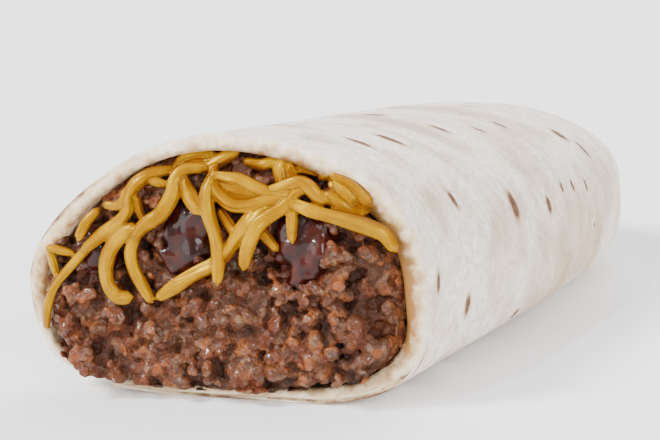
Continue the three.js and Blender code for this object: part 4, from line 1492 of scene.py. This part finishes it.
def make_cheese(material, heights, sizes):
    """The shreds on the front, melted into each other, and the layer behind them."""
    draws = random.Random(SHRED_SEED)
    nearest = blurred(heights, 2, True)
    rods = []
    paths = []
    for width, lift, places in SHREDS:
        melted_width = width * sizes.shred_melt
        path = shred_path(places, melted_width, lift, nearest)
        paths.append(path)
        rods.append(rod_mesh(path, melted_width, SHRED_DEPTH * melted_width, draws))
    raw = combined("cheddar_shreds", rods, material)
    mesh = fused(raw, "cheddar_shreds", SHRED_VOXEL)
    melted = mesh_object("cheddar_shreds", mesh_points(mesh), face_list(mesh), material)
    bpy.data.meshes.remove(mesh)
    soften = melted.modifiers.new("Soften", "SMOOTH")
    soften.factor = 0.5
    soften.iterations = 2
    soft = evaluated_mesh(melted, "cheddar_shreds")
    points = mesh_points(soft)
    strands = strand_places(points, paths)
    ridges = RIDGE_HEIGHT * noise_at(strands / (RIDGE_APART, RIDGE_APART, RIDGE_LENGTH), 1)
    points += mesh_normals(soft) * ridges[:, None]
    shreds = (points, face_list(soft))
    bpy.data.meshes.remove(soft)
    layer = layer_mesh(**CHEESE_LAYER)
    piece = combined("melted_cheddar", [shreds, layer], material)
    x, y, z = points.T
    # Painted shade: cheese that lies back from the foremost shreds gets crease shade
    level = blurred(blurred(front_heights(points), 2, True), 2, False)
    crease_shade = smoothstep(y - grid_value(level, x, z), 0.3, 1.7)
    add_attribute(piece.data, "crease_shade", np.concatenate([crease_shade, np.full(len(layer[0]), LAYER_CREASE_SHADE)]))
    add_attribute(piece.data, "strand", np.concatenate([strands, layer[0]]))
    return piece


# Stage

FLOOR_SIDE = 3000
# The floor lies just under the roll, so that their faces don't meet
FLOOR_UNDER = 0.05
# Lights: name, the way to it, its width in degrees, and strength
SOFTBOXES = [
    ("Large softbox above left", (-0.55, -0.62, 0.8), 16, 4.8),
    ("Softbox right", (0.95, -0.55, 0.6), 30, 2.8),
    ("Softbox in front", (-0.5, -1, 0.2), 35, 1.4),
    ("Small lamp above", (-0.25, -0.9, 0.72), 3, 1.1),
    ("Softbox behind", (0.1, 0.9, 0.9), 60, 2.7),
]


def make_stage():
    corners = [(-1, -1), (1, -1), (1, 1), (-1, 1)]
    places = [(x * FLOOR_SIDE, y * FLOOR_SIDE, -FLOOR_UNDER) for x, y in corners]
    floor = mesh_object("studio_floor", places, [(0, 1, 2, 3)], studio_floor_material())
    world = bpy.data.worlds.new("Pale studio")
    world.use_nodes = True
    light = world.node_tree.nodes["Background"].inputs
    light["Color"].default_value = linear("#F4F7FB")
    light["Strength"].default_value = 0.75
    bpy.context.scene.world = world
    for name, towards, softness, strength in SOFTBOXES:
        add_softbox(name, Vector(towards), softness, strength)
    add_camera()


def add_softbox(name, towards, softness, strength):
    """A wide soft light that shines from a direction, as a large box far away does."""
    light = bpy.data.lights.new(name, "SUN")
    light.angle = math.radians(softness)
    light.energy = strength
    holder = bpy.data.objects.new(name, light)
    holder.location = towards
    holder.rotation_mode = "QUATERNION"
    holder.rotation_quaternion = (-towards).to_track_quat("-Z", "Y")
    bpy.context.scene.collection.objects.link(holder)


def add_camera():
    azimuth = math.radians(CAMERA_AZIMUTH)
    elevation = math.radians(CAMERA_ELEVATION)
    back = Vector((
        math.sin(azimuth) * math.cos(elevation),
        -math.cos(azimuth) * math.cos(elevation),
        math.sin(elevation),
    ))
    right = Vector((math.cos(azimuth), math.sin(azimuth), 0))
    up = back.cross(right)
    camera = bpy.data.cameras.new("Camera")
    camera.lens = CAMERA_LENS
    camera.sensor_width = CAMERA_SENSOR
    camera.clip_start = CAMERA_NEAR_M
    holder = bpy.data.objects.new("Camera", camera)
    turned = Matrix((right, up, back)).transposed()
    holder.matrix_world = Matrix.Translation(Vector(CAMERA_PLACE) * MM) @ turned.to_4x4()
    bpy.context.scene.collection.objects.link(holder)
    bpy.context.scene.camera = holder


def colour_input(name, description, hex_colour):
    return bpy.props.FloatVectorProperty(
        name=name, description=description, subtype="COLOR", default=linear(hex_colour)[:3], min=0, max=1)


def length_input(name, description, millimetres):
    return bpy.props.FloatProperty(
        name=name, description=description, unit="LENGTH", default=millimetres * MM, min=0, precision=5)


class BurritoColours(bpy.types.PropertyGroup):
    bread: colour_input("Bread", "Plain tortilla", "#F4EAE2")
    bread_shade: colour_input("Bread shade", "Streaks and flecks in the tortilla", "#C4AC96")
    tan: colour_input("Tan", "Lightly toasted bread", "#B08A62")
    toast: colour_input("Toast", "Dark toasted spots", "#5E3820")
    cream: colour_input("Cream", "Bread with a little oil in it", "#DDC49C")
    oil: colour_input("Oil stain", "Bread soaked with the filling's oil", "#8E6434")
    beef_grey: colour_input("Grey beef", "Greyish brown crumbs", "#502E19")
    beef_red: colour_input("Red beef", "Reddish brown crumbs", "#5C290F")
    beef_light: colour_input("Light beef", "Lighter grains on the crumbs", "#884A22")
    beef_fat: colour_input("Beef fat", "Small greyish bits of fat", "#8A6446")
    # Painted shade for the hollows between the crumbs
    beef_shade: colour_input("Painted beef shade", "Hollows between the crumbs", "#2E150B")
    cheddar: colour_input("Cheddar", "Thin and well lit cheese", "#A37600")
    cheddar_deep: colour_input("Deep cheddar", "Thick cheese", "#8B5B00")
    cheddar_pale: colour_input("Pale cheddar", "Cheese with milky fat on it", "#B88600")
    # Painted shade for the creases between the shreds
    cheddar_crease_shade: colour_input("Cheddar crease shade", "Cheese in the creases between shreds", "#6E3A00")
    sauce: colour_input("Sauce", "Thick dark sauce", "#1F0805")
    sauce_red: colour_input("Thin sauce", "Thin sauce with fat in it", "#3C1107")


class BurritoSizes(bpy.types.PropertyGroup):
    clump_spacing: length_input("Clump spacing", "Distance between the clumps of beef", 5.2)
    clump_radius: length_input("Clump radius", "Half the width of a clump of beef", 2.7)
    smallest_grain: length_input("Smallest grain", "Radius of the finest grains of a clump", 0.7)
    largest_grain: length_input("Largest grain", "Radius of the coarsest grains of a clump", 1.45)
    sauce_thickness: length_input("Sauce thickness", "Thickness of the pools of sauce", 0.45)
    shred_melt: bpy.props.FloatProperty(
        name="Shred melt",
        description="How much wider than cut the melted shreds are",
        default=1.2,
        min=0.7,
        max=1.4,
    )


class BURRITO_OT_tortilla(bpy.types.Operator):
    """Make the rolled flour tortilla"""
    bl_idname = "burrito.tortilla"
    bl_label = "Tortilla"

    def execute(self, context):
        piece = make_tortilla(flour_tortilla_material(context.scene.burrito_colours))
        finish_piece(piece, "tortilla")
        return {"FINISHED"}


def beef_heights(scene):
    """The beef's front, which the beef's operator leaves on the scene for what lies on it."""
    if "beef_heights" not in scene:
        raise RuntimeError("Make the ground beef first")
    return np.array(scene["beef_heights"]).reshape(GRID_HIGH, GRID_WIDE)


class BURRITO_OT_beef(bpy.types.Operator):
    """Make the heap of ground beef that fills the roll"""
    bl_idname = "burrito.beef"
    bl_label = "Ground beef"

    def execute(self, context):
        scene = context.scene
        material = ground_beef_material(scene.burrito_colours)
        piece, heights = make_beef(material, scene.burrito_sizes)
        finish_piece(piece, "ground_beef")
        scene["beef_heights"] = heights.ravel().tolist()
        return {"FINISHED"}


class BURRITO_OT_sauce(bpy.types.Operator):
    """Make the pools of red sauce that lie on the beef"""
    bl_idname = "burrito.sauce"
    bl_label = "Red sauce"

    def execute(self, context):
        scene = context.scene
        material = sauce_material(scene.burrito_colours)
        piece = make_sauce(material, beef_heights(scene), scene.burrito_sizes)
        finish_piece(piece, "red_sauce")
        return {"FINISHED"}


class BURRITO_OT_cheese(bpy.types.Operator):
    """Make the melted cheddar shreds that lie on the beef"""
    bl_idname = "burrito.cheese"
    bl_label = "Melted cheddar"

    def execute(self, context):
        scene = context.scene
        material = cheddar_material(scene.burrito_colours)
        piece = make_cheese(material, beef_heights(scene), scene.burrito_sizes)
        finish_piece(piece, "shredded_cheese")
        return {"FINISHED"}


class BURRITO_OT_stage(bpy.types.Operator):
    """Make the floor, the lights and the camera"""
    bl_idname = "burrito.stage"
    bl_label = "Stage"

    def execute(self, context):
        make_stage()
        return {"FINISHED"}


class BURRITO_PT_panel(bpy.types.Panel):
    """Lists the burrito's pieces"""
    bl_idname = "BURRITO_PT_panel"
    bl_label = "Burrito"
    bl_space_type = "VIEW_3D"
    bl_region_type = "UI"
    bl_category = "Burrito"

    def draw(self, context):
        for operator in OPERATORS:
            self.layout.operator(operator.bl_idname)


OPERATORS = (BURRITO_OT_stage, BURRITO_OT_tortilla, BURRITO_OT_beef, BURRITO_OT_sauce, BURRITO_OT_cheese)
CLASSES = (BurritoColours, BurritoSizes, *OPERATORS, BURRITO_PT_panel)


def register():
    for item in CLASSES:
        bpy.utils.register_class(item)
    bpy.types.Scene.burrito_colours = bpy.props.PointerProperty(type=BurritoColours)
    bpy.types.Scene.burrito_sizes = bpy.props.PointerProperty(type=BurritoSizes)


def unregister():
    del bpy.types.Scene.burrito_sizes
    del bpy.types.Scene.burrito_colours
    for item in reversed(CLASSES):
        bpy.utils.unregister_class(item)


def main():
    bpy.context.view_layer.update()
    register()
    bpy.ops.burrito.stage()
    bpy.ops.burrito.tortilla()
    bpy.ops.burrito.beef()
    bpy.ops.burrito.sauce()
    bpy.ops.burrito.cheese()


if __name__ == "__main__":
    main()
